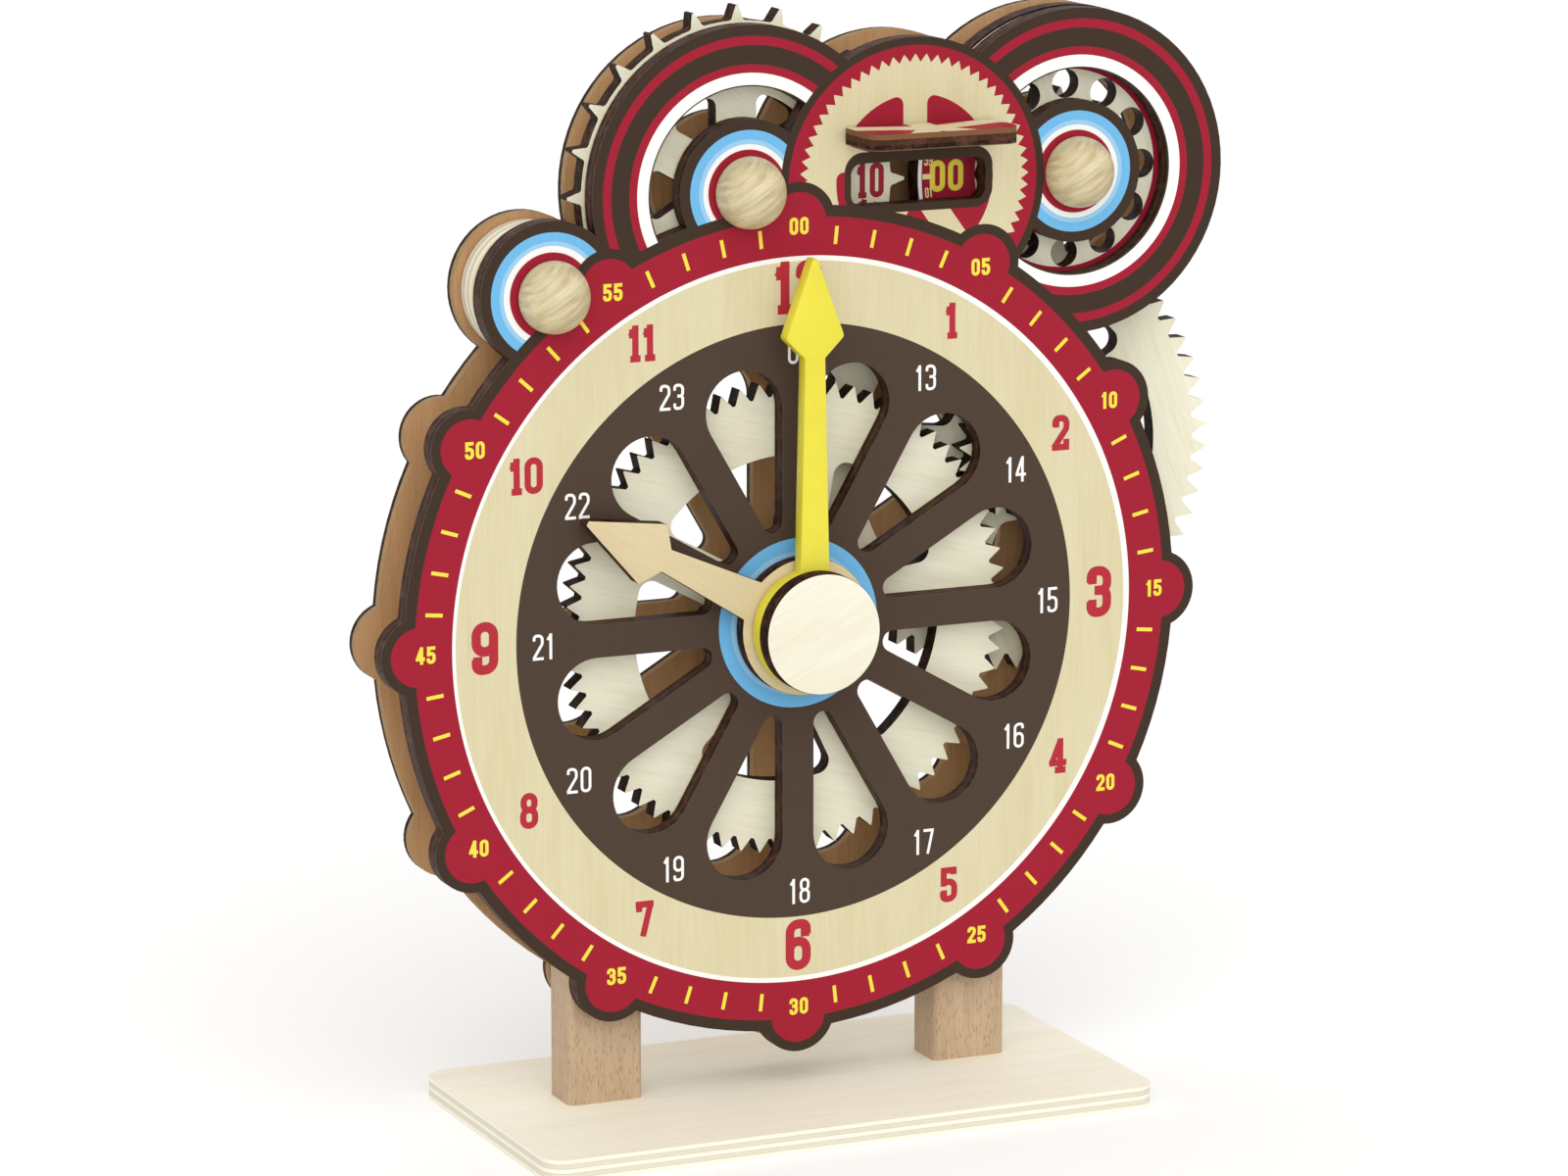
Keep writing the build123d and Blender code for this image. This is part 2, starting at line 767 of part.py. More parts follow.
def build_nodes():
    """Every node of the clock by name."""
    star_collar_front = first_layer_back
    number_pinion_back = first_layer_back + wheel_thickness
    return {
        "base_board": base_board(),
        "left_post": post(post_centres_x[0]),
        "right_post": post(post_centres_x[1]),
        "front_plate": front_plate(),
        "back_plate": back_plate(),
        "spacer_pillars": spacer_pillars(),
        "base_screws": Compound(base_screws()),
        "back_screws": Compound([place(screw) for screw in back_screws()]),
        "hub_washers": hub_washers(),
        "number_washers": number_washers(),
        "train_washers": train_washers(),
        "minute_arbor": minute_arbor(),
        "minute_pinion": fast_pinion(dial_centre, second_layer_front),
        "minute_hand": minute_hand(),
        "hub_knob": hub_knob(),
        "hour_sleeve": hour_sleeve(),
        "hour_hand": hour_hand(),
        "hour_wheel": hour_wheel(),
        "intermediate_axle": intermediate_axle(),
        "intermediate_wheel": intermediate_wheel(),
        "intermediate_pinion": intermediate_pinion(),
        "minute_number_wheel": minute_number_wheel(),
        "number_pinion": fast_pinion(right_ring_centre, first_layer_back),
        "number_axle": knob_axle(right_ring_centre),
        "number_collar": collar(right_ring_centre, number_pinion_back),
        "right_ball_knob": ball_knob(right_ring_centre),
        "hour_number_wheel": hour_number_wheel(),
        "hour_number_axle": knob_axle(left_ring_centre),
        "hour_number_collar": collar(left_ring_centre, star_collar_front),
        "left_ball_knob": ball_knob(left_ring_centre),
        "thumb_roller": thumb_roller(),
        "roller_axle": knob_axle(small_disc_centre),
        "roller_ball_knob": ball_knob(small_disc_centre),
        "shutter_flap": shutter_flap(),
        "hinge_plate_leaf": hinge_plate_leaf(),
        "hinge_flap_leaf": hinge_flap_leaf(),
        "hinge_pin": hinge_pin(),
        "hinge_plate_screws": Compound([place(screw) for screw in plate_hinge_screws()]),
        "hinge_flap_screws": Compound([place(screw) for screw in flap_hinge_screws()]),
    }


os.makedirs("parts", exist_ok=True)
for node_name, shape in build_nodes().items():
    export_step(shape, "parts/" + node_name + ".step")
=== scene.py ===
"""The looks of a wooden teaching clock, built round its packed construction model."""

import json
import math

import bmesh
import bpy
from bpy.props import FloatProperty, FloatVectorProperty, PointerProperty
from mathutils import Matrix, Vector


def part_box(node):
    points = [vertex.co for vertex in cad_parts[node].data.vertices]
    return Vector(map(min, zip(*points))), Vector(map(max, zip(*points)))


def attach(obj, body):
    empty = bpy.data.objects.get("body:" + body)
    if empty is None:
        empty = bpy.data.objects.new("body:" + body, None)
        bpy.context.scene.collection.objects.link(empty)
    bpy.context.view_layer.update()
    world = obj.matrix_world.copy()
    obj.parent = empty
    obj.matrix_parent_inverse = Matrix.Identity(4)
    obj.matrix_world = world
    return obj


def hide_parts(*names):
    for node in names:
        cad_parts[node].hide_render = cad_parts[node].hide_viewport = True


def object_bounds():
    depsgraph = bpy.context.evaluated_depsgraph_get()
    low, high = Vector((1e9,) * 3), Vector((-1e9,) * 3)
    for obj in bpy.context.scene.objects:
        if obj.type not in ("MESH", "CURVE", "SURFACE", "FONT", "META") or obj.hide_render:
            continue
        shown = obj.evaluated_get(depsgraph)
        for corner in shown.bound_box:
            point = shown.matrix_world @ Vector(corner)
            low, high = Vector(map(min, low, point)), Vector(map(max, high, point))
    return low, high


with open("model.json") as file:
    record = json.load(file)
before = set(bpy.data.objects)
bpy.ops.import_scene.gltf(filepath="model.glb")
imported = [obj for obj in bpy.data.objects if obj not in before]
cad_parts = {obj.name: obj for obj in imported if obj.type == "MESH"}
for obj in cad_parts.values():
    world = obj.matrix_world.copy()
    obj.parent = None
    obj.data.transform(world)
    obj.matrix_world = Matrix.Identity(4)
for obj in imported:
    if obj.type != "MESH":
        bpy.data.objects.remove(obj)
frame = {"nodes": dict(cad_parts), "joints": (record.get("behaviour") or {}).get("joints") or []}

bl_info = {
    "name": "Teaching Clock Looks",
    "version": (1, 0, 0),
    "blender": (4, 5, 0),
    "location": "3D View > Sidebar > Clock",
    "description": "Prints, woods, numbers and turned pieces of a wooden teaching clock",
    "category": "Object",
}

MM = 0.001

# The construction model's own places, in metres
STAND_LOW, STAND_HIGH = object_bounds()
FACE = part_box("front_plate")[0].y


def joint_place(name):
    """The centre of a joint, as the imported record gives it."""
    for joint in frame["joints"]:
        if joint["name"] == name:
            return Vector(joint["pos_m"])
    raise ValueError("the record has no joint named " + name)


DIAL = joint_place("minute_turn")
RIGHT_RING = joint_place("minute_numbers_turn")
LEFT_RING = joint_place("hour_numbers_turn")
SMALL_DISC = joint_place("roller_turn")
MIDDLE_DISC = (RIGHT_RING + LEFT_RING) / 2
HINGE = joint_place("shutter_fold")

MINUTES = 60
HOURS = 12
DAY_HOURS = 24
MINUTES_BETWEEN_NUMBERS = MINUTES // HOURS
HOURS_BETWEEN_QUARTERS = HOURS // 4

# The hour that shows in the display window at rest
HOUR_AT_WINDOW = 10

# Bands of the print, from the outside of each disc inwards: the radius in mm and the ink
BIG_RING_BANDS = (
    (46.2, "red"),
    (43.5, "dark"),
    (37.8, "red"),
    (35.3, "white"),
    (31.7, "dark"),
    (18.4, "blue"),
    (15.6, "pale_blue"),
    (14.2, "white"),
    (12.6, "red"),
)
SMALL_DISC_BANDS = ((18.9, "blue"), (16.2, "pale_blue"), (14.9, "white"), (13.0, "red"))
MIDDLE_DISC_BANDS = ((43.4, "dark"), (40.9, "red"))
DIAL_BANDS = ((91.1, "brown"), (26.0, "blue"), (22.0, "pale_blue"))
NUMBER_WHEEL_BANDS = ((49.1, "white"), (47.9, "wheel_red"), (30.2, "veneer"))

# The rim of the dial, with a lobe at each hour: ink, radius of its ring and of its lobes, in mm
LOBE_CIRCLE = 121.5
RIM_COATS = (("dark", 126.5, 12.0), ("red", 123.0, 9.0))
DIAL_WHITE_RADIUS = 111.3
DIAL_VENEER_RADIUS = 109.8
DIAL_VENEER_SHIFT = (-0.4, 0.0)

# The cream gear printed on the middle disc, in mm
PRINTED_GEAR_SHIFT = (0.5, 0.6)
PRINTED_GEAR_RADIUS = 37.7
PRINTED_GEAR_TEETH = 64
PRINTED_TOOTH_DEPTH = 2.5
PRINTED_SPOKES = 5
PRINTED_SPOKE_WIDTH = 7.8
PRINTED_SECTOR_RADIUS = 25.8
PRINTED_SECTOR_CORNER = 3.0

# The dark outline printed round the display window, in mm from the dial's centre
WINDOW_OUTLINE_CENTRE = (39.4, 131.8)
WINDOW_OUTLINE_HALF = (24.4, 9.3)
WINDOW_OUTLINE_CORNER = 6.0

# Places of the numbers, in mm. A shift is how far a coat was printed off its true place.
# A tick is given by its inner radius, its outer radius and its width
MINUTE_NUMBER_RADIUS = 119.8
MINUTE_NUMBER_SHIFT = (0.2, 0.5)
HOUR_NUMBER_RADIUS = 101.0
HOUR_NUMBER_SHIFT = (0.0, 1.0)
DAY_NUMBER_RADIUS = 83.0
DAY_NUMBER_SHIFT = (0.5, -0.2)
TICK = (114.8, 120.2, 1.15)
WHEEL_MINUTE_RADIUS = 39.6
WHEEL_SMALL_MINUTE_RADIUS = 45.8
WHEEL_TICK = (44.0, 47.6, 1.6)
WHEEL_HOUR_RADIUS = 43.4

# Lettering: width and stroke as shares of the height, and the gap between digits in strokes
MINUTE_LETTERING = (0.54, 0.2, 0.55)
HOUR_LETTERING = (0.53, 0.185, 0.35)
DAY_LETTERING = (0.44, 0.11, 1.1)
WHEEL_MINUTE_LETTERING = (0.53, 0.18, 0.55)
WHEEL_SMALL_MINUTE_LETTERING = (0.4, 0.14, 0.55)
WHEEL_HOUR_LETTERING = (0.44, 0.17, 0.55)

# The width of a 1 beside the other digits, and the corner radius as a share of a digit's width
NARROW_ONE = 0.68
DIGIT_CORNER = 0.48
CORNER_STEPS = 5

# Strokes of ink that cross lie in layers, a step in mm apart, so none hides in another
STROKE_LAYERS = 5
STROKE_LAYER_STEP = 0.012

# Plies of the sheets, and how many of the back plate's were only browned by the laser
SHEET_PLIES = 3
TOASTED_PLIES = 1.7
BASE_PLIES = 5
ROLLER_PLIES = 9

# The outer part of the shutter's edge that the laser left light, as a share of its thickness
SHUTTER_LIGHT_PLY = 1 / 3

# How deep a sheet's printed face reaches and how wide the painted highlight along its front corner is,
# in mm
PRINT_DEPTH = 0.03
ARRIS_HIGHLIGHT_WIDTH = 0.3

# Half a glue line, as a share of a ply
GLUE_HALF_WIDTH = 0.05

# A surface counts as a face of its sheet, and not its edge, where its unit normal reaches this
# far along the axis
FACE_COSINE = 0.72

# Streaks and pores of a flat board: how much longer than wide they are, the levels of their
# noise between which they come up, and how dark a streak is beside a pore
STREAK_STRETCH = 5.5
STREAK_LEVELS = (0.36, 0.66)
STREAK_DEPTH = 0.55
PORE_STRETCH = 22.0
PORE_LEVELS = (0.45, 0.72)

# How the growth lines of turned pieces lie, in radians: aslant on a knob, and along a pillar
KNOB_GRAIN = (0.25, math.radians(55.0), 0.0)
PILLAR_GRAIN = (math.radians(90.0), 0.0, 0.0)

# Steps round a turned piece, round its eased corners and along the ball of a knob
TURNING_STEPS = 96
ARC_STEPS = 5
BALL_STEPS = 28

# A knob's ball ends this far before its back, in mm. The points of its eased back edge follow:
# how far inside the ball's last point and how far before the back each one lies
BALL_END = 0.8
BALL_BACK_EDGE = ((0.15, 0.35), (0.45, 0.08), (0.95, 0.0))

# Sanding eases edges sharper than the first angle. Flatter ones than the second are merged away
SHARP_EDGE = math.radians(25.0)
FLAT_EDGE = math.radians(0.6)
MERGE_DISTANCE = 0.002 * MM

# Faces that meet at less than this shade as one smooth surface
SMOOTH_EDGE = math.radians(40.0)
SMOOTH_INK_EDGE = math.radians(80.0)

# The camera stands where the photograph was taken: distance and shift in metres, lens in mm
CAMERA_AZIMUTH = math.radians(-24.0)
CAMERA_ELEVATION = math.radians(11.75)
CAMERA_DISTANCE = 1.914
CAMERA_SHIFT = (0.0043, -0.0104)
CAMERA_LENS = 146.25
CAMERA_SENSOR = 36.0

# The key light comes from in front, above and a little from the left
TOWARDS_LIGHT = Vector((-0.25, -0.85, 0.75))


def linear(code):
    """An sRGB hex colour as the linear values that the shaders need."""
    values = [int(code[place:place + 2], 16) / 255 for place in (0, 2, 4)]
    return tuple(v / 12.92 if v <= 0.04045 else ((v + 0.055) / 1.055) ** 2.4 for v in values)


def colour_property(name, about, code):
    """A colour that the sidebar shows, from its sRGB hex code."""
    return FloatVectorProperty(
        name=name, description=about, default=linear(code), subtype="COLOR", size=3, min=0.0, max=1.0
    )


def size_property(name, about, millimetres):
    """A length that the sidebar shows, kept in metres."""
    return FloatProperty(
        name=name, description=about, default=millimetres * MM, min=0.0, precision=5, unit="LENGTH"
    )


class ClockInks(bpy.types.PropertyGroup):
    """Colours of the printed and painted parts."""

    red: colour_property("Red", "Dial ring, lobes and bands", "A32436")
    number_red: colour_property("Number red", "Hour numbers, where bare wood shines through", "B42D3B")
    dark: colour_property("Dark brown", "Borders round every printed shape", "42342A")
    brown: colour_property("Brown", "Disc behind the hands", "504137")
    blue: colour_property("Blue", "Rings round the knobs", "74BCEB")
    pale_blue: colour_property("Pale blue", "Inner half of the blue rings", "9FD0F3")
    white: colour_property("White", "Thin rings and the 24 hour numbers", "FBFAF6")
    yellow: colour_property("Yellow", "Minute numbers and ticks", "F3E04A")
    cream: colour_property("Cream", "Small minutes and ticks of the number wheel", "F3E9A8")
    hand_yellow: colour_property("Hand yellow", "Paint of the minute hand", "E8DB38")
    wheel_red: colour_property("Wheel red", "Ink of the number ring", "9C2138")


class ClockWoods(bpy.types.PropertyGroup):
    """Colours of the bare woods, and of the metal and nylon parts."""

    birch: colour_property("Birch", "Face veneer of the plates", "E0D6B1")
    birch_dark: colour_property("Birch grain", "Darker streaks of the veneer", "D4C394")
    pale: colour_property("Pale birch", "Face of the wheels", "F3EFD8")
    pale_dark: colour_property("Pale birch grain", "Darker streaks of the wheels", "E0DABA")
    base: colour_property("Base birch", "Face of the base board", "FCF7E6")
    base_dark: colour_property("Base grain", "Darker streaks of the base board", "F0E4C8")
    knob: colour_property("Knob birch", "Face of the centre knob", "F2EEDC")
    knob_dark: colour_property("Knob grain", "Darker streaks of the centre knob", "E6DCC0")
    roller: colour_property("Roller birch", "Plies of the thumb roller", "F2EAD6")
    tan: colour_property("Tan veneer", "Both faces of the back plate", "C0976F")
    tan_dark: colour_property("Tan grain", "Darker streaks of the back plate", "A67D55")
    beech: colour_property("Beech", "Posts", "C6AC8E")
    beech_dark: colour_property("Beech grain", "Darker streaks of the posts", "A08260")
    beech_fleck: colour_property("Beech flecks", "Short dark flecks of the posts", "8F6E4B")
    hand: colour_property("Hand wood", "Face of the hour hand", "DBCAA2")
    hand_dark: colour_property("Hand grain", "Darker streaks of the hour hand", "CBB68C")
    turned: colour_property("Turned wood", "Ball knobs, pillars and dowels", "DACCA4")
    turned_dark: colour_property("Turned grain", "Growth lines of the turned wood", "B4A074")
    burnt: colour_property("Burnt edge", "Laser-cut edges", "28170E")
    burnt_light: colour_property("Browned ply", "Less burnt middle ply of a cut edge", "624030")
    # The arris colour is a painted highlight: a light line that stands in for a glint along the front
    # corner of a cut edge
    arris: colour_property("Arris", "Thin light line along a front arris", "9C8870")
    toasted: colour_property("Toasted edge", "Front plies of the back plate's edge", "AE8F66")
    flap_edge: colour_property("Shutter edge", "Outer ply of the shutter's edge", "7E563A")
    brass: colour_property("Brass", "Hinge and its screws", "D9B66A")
    steel: colour_property("Zinc-plated steel", "Screws of the back and the base", "C9CBCD")
    nylon: colour_property("Nylon", "Washers", "EDEAE0")
    nylon_dark: colour_property("Cloudy nylon", "Clouds in the washers", "D8D4C6")


class ClockSizes(bpy.types.PropertyGroup):
    """Sizes of the numbers, the ink and the eased edges."""

    ink: size_property("Ink", "Thickness of a stroke of ink", 0.06)
    minute_numbers: size_property("Minute numbers", "Height of the dial's minute numbers", 5.2)
    quarter_hours: size_property("Quarter hours", "Height of the numbers 3, 6, 9 and 12", 15.9)
    other_hours: size_property("Other hours", "Height of the other hour numbers", 11.0)
    day_numbers: size_property("24 hour numbers", "Height of the 24 hour numbers", 7.8)
    wheel_minutes: size_property("Wheel minutes", "Height of the window's minute numbers", 9.6)
    wheel_small_minutes: size_property("Wheel small minutes", "Height of the small ones between", 3.1)
    wheel_hours: size_property("Wheel hours", "Height of the window's hour numbers", 10.6)
    minute_hand_edge: size_property("Minute hand edge", "Sanded edge of the minute hand", 0.35)
    hour_hand_edge: size_property("Hour hand edge", "Sanded edge of the hour hand", 0.25)
    centre_knob_edge: size_property("Centre knob edge", "Rounding of the centre knob", 0.6)
    roller_edge: size_property("Roller edge", "Rounding of the thumb roller", 0.6)


class ClockStage(bpy.types.PropertyGroup):
    """Light and floor."""

    sun_strength: FloatProperty(
        name="Key light", description="Strength of the large soft key light", default=1.05, min=0.0
    )
    sun_width: FloatProperty(
        name="Key softness", description="Apparent width of the key light",
        default=math.radians(60.0), min=0.0, max=math.radians(170.0), subtype="ANGLE",
    )
    sky_strength: FloatProperty(
        name="Fill light", description="Strength of the even light all round", default=0.85, min=0.0
    )
    floor_size: FloatProperty(
        name="Floor size", description="Width of the floor", default=14.0, min=0.5, unit="LENGTH"
    )
    floor_glow: FloatProperty(
        name="Floor glow", description="How much whiter the floor looks to the eye alone",
        default=0.12, min=0.0,
    )
    paper: colour_property("Paper", "Floor", "F6F6F5")
    paper_fibre: colour_property("Paper fibre", "Faint fibres in the floor", "F0F0EF")


def rgba(colour, shade=1.0):
    """A colour as the nodes take it, made darker by a shade below 1."""
    return (*(shade * value for value in colour), 1.0)


def add_node(tree, kind, sockets=(), **settings):
    """Adds one node, sets its options, and fills or links its inputs, which are listed or named."""
    node = tree.nodes.new(kind)
    for key, value in settings.items():
        setattr(node, key, value)
    pairs = sockets.items() if isinstance(sockets, dict) else enumerate(sockets)
    for key, value in pairs:
        if isinstance(value, bpy.types.NodeSocket):
            tree.links.new(value, node.inputs[key])
        else:
            node.inputs[key].default_value = value
    return node


def new_material(name):
    """An empty material and its node tree."""
    material = bpy.data.materials.new(name)
    material.use_nodes = True
    material.node_tree.nodes.clear()
    return material, material.node_tree


def finish_surface(tree, colour, height, relief, sockets):
    """Adds the shader and the output. A height pattern raises the surface by a relief in mm.

    sockets holds the shader's other inputs, which are mostly even all over the surface. The shader's
    own IOR of 1.5 suits wood, ink, paint and nylon, and a metal keeps it.
    """
    bump = add_node(
        tree, "ShaderNodeBump", {"Height": height, "Distance": relief * MM, "Strength": 0.5}
    )
    shader = add_node(
        tree, "ShaderNodeBsdfPrincipled", {"Base Color": colour, "Normal": bump.outputs[0], **sockets}
    )
    add_node(tree, "ShaderNodeOutputMaterial", [shader.outputs[0]])


def object_point(tree):
    """Object coordinates in millimetres."""
    place = add_node(tree, "ShaderNodeTexCoord").outputs["Object"]
    return add_node(
        tree, "ShaderNodeVectorMath", {"Vector": place, "Scale": 1 / MM}, operation="SCALE"
    ).outputs[0]


def painted_over(tree, below, *coats):
    """Lays coats over a colour. Each is the share that it covers, from 0 to 1, and its colour."""
    for share, colour in coats:
        sockets = {0: share, 6: below, 7: colour}
        below = add_node(tree, "ShaderNodeMix", sockets, data_type="RGBA").outputs[2]
    return below


def stretched_noise(tree, point, size, detail, roughness=0.5, distortion=0.0, angles=(0.0, 0.0, 0.0)):
    """Noise whose blotches have a size in mm along each axis, with the axes turned by angles."""
    place = add_node(
        tree, "ShaderNodeMapping", {"Vector": point, "Rotation": angles, "Scale": size},
        vector_type="TEXTURE",
    ).outputs[0]
    return add_node(
        tree, "ShaderNodeTexNoise",
        {
            "Vector": place, "Scale": 1.0, "Detail": detail,
            "Roughness": roughness, "Distortion": distortion,
        },
    ).outputs[0]


def mottled(tree, light, dark, *patterns):
    """A light colour that turns dark in patterns.

    A pattern comes with the level where it starts to show, the level where it shows in full,
    and how much of the dark colour it then brings, from 0 to 1.
    """
    darkness = 0.0
    for pattern, low, high, share in patterns:
        part = add_node(
            tree, "ShaderNodeMapRange",
            {"Value": pattern, "From Min": low, "From Max": high, "To Min": 0.0, "To Max": share},
        ).outputs[0]
        darkness = add_node(
            tree, "ShaderNodeMath", [part, darkness], operation="ADD", use_clamp=True
        ).outputs[0]
    return painted_over(tree, light, (darkness, dark))


def wood_grain(tree, light, dark, angle, fine=0.9, streak=7.0, strength=0.5, pore_strength=0.4):
    """The colour of a flat board, and its pores. fine and streak are widths in mm.

    The grain runs along Z and is turned by an angle in degrees within the sheet. Soft streaks
    and fine pores are several times as long as wide, as a sliced or peeled veneer shows them.
    """
    point = object_point(tree)
    angles = (0.0, math.radians(-angle), 0.0)
    streak_size = (streak, streak, streak * STREAK_STRETCH)
    streaks = stretched_noise(
        tree, point, streak_size, 3.0, roughness=0.55, distortion=0.3, angles=angles
    )
    pore_size = (fine, fine, fine * PORE_STRETCH)
    pores = stretched_noise(
        tree, point, pore_size, 4.0, roughness=0.6, distortion=0.15, angles=angles
    )
    colour = mottled(
        tree, rgba(light), rgba(dark),
        (streaks, *STREAK_LEVELS, STREAK_DEPTH * strength),
        (pores, *PORE_LEVELS, pore_strength),
    )
    return colour, pores


def facing(tree, axis):
    """1 on the faces square to an axis of the piece, and 0 on its edges."""
    normal = add_node(tree, "ShaderNodeTexCoord").outputs["Normal"]
    part = add_node(tree, "ShaderNodeSeparateXYZ", [normal]).outputs[axis]
    size = add_node(tree, "ShaderNodeMath", [part], operation="ABSOLUTE").outputs[0]
    return add_node(tree, "ShaderNodeMath", [size, FACE_COSINE], operation="GREATER_THAN").outputs[0]


def depth_along(tree, axis):
    """How far along an axis of the piece a point lies, in mm."""
    return add_node(tree, "ShaderNodeSeparateXYZ", [object_point(tree)]).outputs[axis]


def sheet_of(node, axis="Y"):
    """The depths at which a CAD sheet starts and ends along an axis, in mm."""
    low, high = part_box(node)
    index = "XYZ".index(axis)
    return low[index] / MM, high[index] / MM


def burnt_edge(tree, woods, depth, sheet, ply_and_highlight_share=0.0, toasted=None):
    """The colour of a laser-cut edge, at a depth across its sheet.

    ply_and_highlight_share is how clearly the middle ply and the painted highlight along the front
    corner show.
    toasted is the colour of the front plies where the laser only browned them and charred the rest.
    """
    front, back = sheet
    inside = add_node(
        tree, "ShaderNodeMapRange",
        {"Value": depth, "From Min": front, "From Max": back, "To Min": 0.0, "To Max": SHEET_PLIES},
    ).outputs[0]
    # Soot lies in patches of about 3 mm
    soot = add_node(
        tree, "ShaderNodeTexNoise",
        {"Vector": object_point(tree), "Scale": 0.35, "Detail": 4.0, "Roughness": 0.65},
    ).outputs[0]
    soot_share = add_node(
        tree, "ShaderNodeMapRange",
        {"Value": soot, "From Min": 0.32, "From Max": 0.54, "To Min": 0.25, "To Max": 1.0},
    ).outputs[0]
    middle = add_node(
        tree, "ShaderNodeMath", [inside, SHEET_PLIES / 2, 0.5], operation="COMPARE"
    ).outputs[0]
    middle_share = add_node(
        tree, "ShaderNodeMath", [middle, ply_and_highlight_share], operation="MULTIPLY"
    ).outputs[0]
    coats = [(soot_share, rgba(woods.burnt)), (middle_share, rgba(woods.burnt_light))]
    if toasted is not None:
        in_front = add_node(
            tree, "ShaderNodeMath", [inside, TOASTED_PLIES], operation="LESS_THAN"
        ).outputs[0]
        browned = painted_over(tree, rgba(toasted), (soot_share, rgba(toasted, 0.8)))
        coats.append((in_front, browned))
    # Painted highlight: the front corner of the edge takes a light colour, where a glint of light would
    # be
    arris = ARRIS_HIGHLIGHT_WIDTH * SHEET_PLIES / (back - front)
    on_arris_highlight = add_node(tree, "ShaderNodeMath", [inside, arris], operation="LESS_THAN").outputs[0]
    arris_highlight_share = add_node(
        tree, "ShaderNodeMath", [on_arris_highlight, ply_and_highlight_share], operation="MULTIPLY"
    ).outputs[0]
    coats.append((arris_highlight_share, rgba(woods.arris)))
    return painted_over(tree, rgba(woods.burnt_light), *coats)


def laser_cut_plywood(name, light, dark, node, angle=0.0, strength=0.6, toasted=None):
    """Birch plywood cut by laser: sanded veneer on both faces and edges burnt dark brown."""
    woods = bpy.context.scene.clock_woods
    material, tree = new_material(name)
    veneer, pores = wood_grain(tree, light, dark, angle, strength=strength)
    edge = burnt_edge(tree, woods, depth_along(tree, "Y"), sheet_of(node), toasted=toasted)
    colour = painted_over(tree, edge, (facing(tree, "Y"), veneer))
    finish_surface(tree, colour, pores, 0.12, {"Roughness": 0.6, "Specular IOR Level": 0.06})
    return material


def ink_within(tree, below, ink, distance, limit):
    """One ink laid over the colours below it, where a distance is less than a limit."""
    covered = add_node(tree, "ShaderNodeMath", [distance, limit], operation="LESS_THAN").outputs[0]
    return painted_over(tree, below, (covered, ink))


def print_bands(tree, below, inks, distance, bands):
    """Round bands of ink, each inside the one before."""
    for radius, ink in bands:
        below = ink_within(tree, below, inks[ink], distance, radius)
    return below


def on_print(place):
    """A place in metres as the print has it: in mm from the dial's centre, with no depth."""
    return Vector(((place.x - DIAL.x) / MM, 0.0, (place.z - DIAL.z) / MM))


def shifted(place, shift):
    """A place in metres, moved right and up by a shift in mm."""
    return place + Vector((shift[0], 0.0, shift[1])) * MM


def distance_to(tree, point, centre):
    """Millimetres from a point of the print to a centre that is given in metres."""
    return add_node(
        tree, "ShaderNodeVectorMath", [point, on_print(centre)], operation="DISTANCE"
    ).outputs["Value"]


def bearing_of(tree, point, centre):
    """The angle of a point of the print round a centre, in radians."""
    offset = add_node(
        tree, "ShaderNodeVectorMath", [point, on_print(centre)], operation="SUBTRACT"
    ).outputs[0]
    parts = add_node(tree, "ShaderNodeSeparateXYZ", [offset]).outputs
    return add_node(tree, "ShaderNodeMath", [parts["Z"], parts["X"]], operation="ARCTAN2").outputs[0]


def distance_to_lobe(tree, point):
    """Millimetres from a point of the print to the centre of the nearest lobe."""
    half_step = math.pi / HOURS
    bearing = bearing_of(tree, point, DIAL)
    folded = add_node(
        tree, "ShaderNodeMath", [bearing, half_step, -half_step], operation="WRAP"
    ).outputs[0]
    across = add_node(tree, "ShaderNodeMath", [folded], operation="SINE").outputs[0]
    along = add_node(tree, "ShaderNodeMath", [folded], operation="COSINE").outputs[0]
    direction = add_node(tree, "ShaderNodeCombineXYZ", [along, across]).outputs[0]
    place = add_node(
        tree, "ShaderNodeVectorMath", {"Vector": direction, "Scale": distance_to(tree, point, DIAL)},
        operation="SCALE",
    ).outputs[0]
    return add_node(
        tree, "ShaderNodeVectorMath", [place, (LOBE_CIRCLE, 0.0, 0.0)], operation="DISTANCE"
    ).outputs["Value"]


def corner_distance(tree, depths, corner):
    """How far a point is past the corner circle of two walls, from its depths inside them."""
    gaps = []
    for depth in depths:
        gap = add_node(tree, "ShaderNodeMath", [corner, depth], operation="SUBTRACT").outputs[0]
        gaps.append(add_node(tree, "ShaderNodeMath", [gap, 0.0], operation="MAXIMUM").outputs[0])
    both = add_node(tree, "ShaderNodeCombineXYZ", gaps).outputs[0]
    return add_node(tree, "ShaderNodeVectorMath", [both], operation="LENGTH").outputs["Value"]


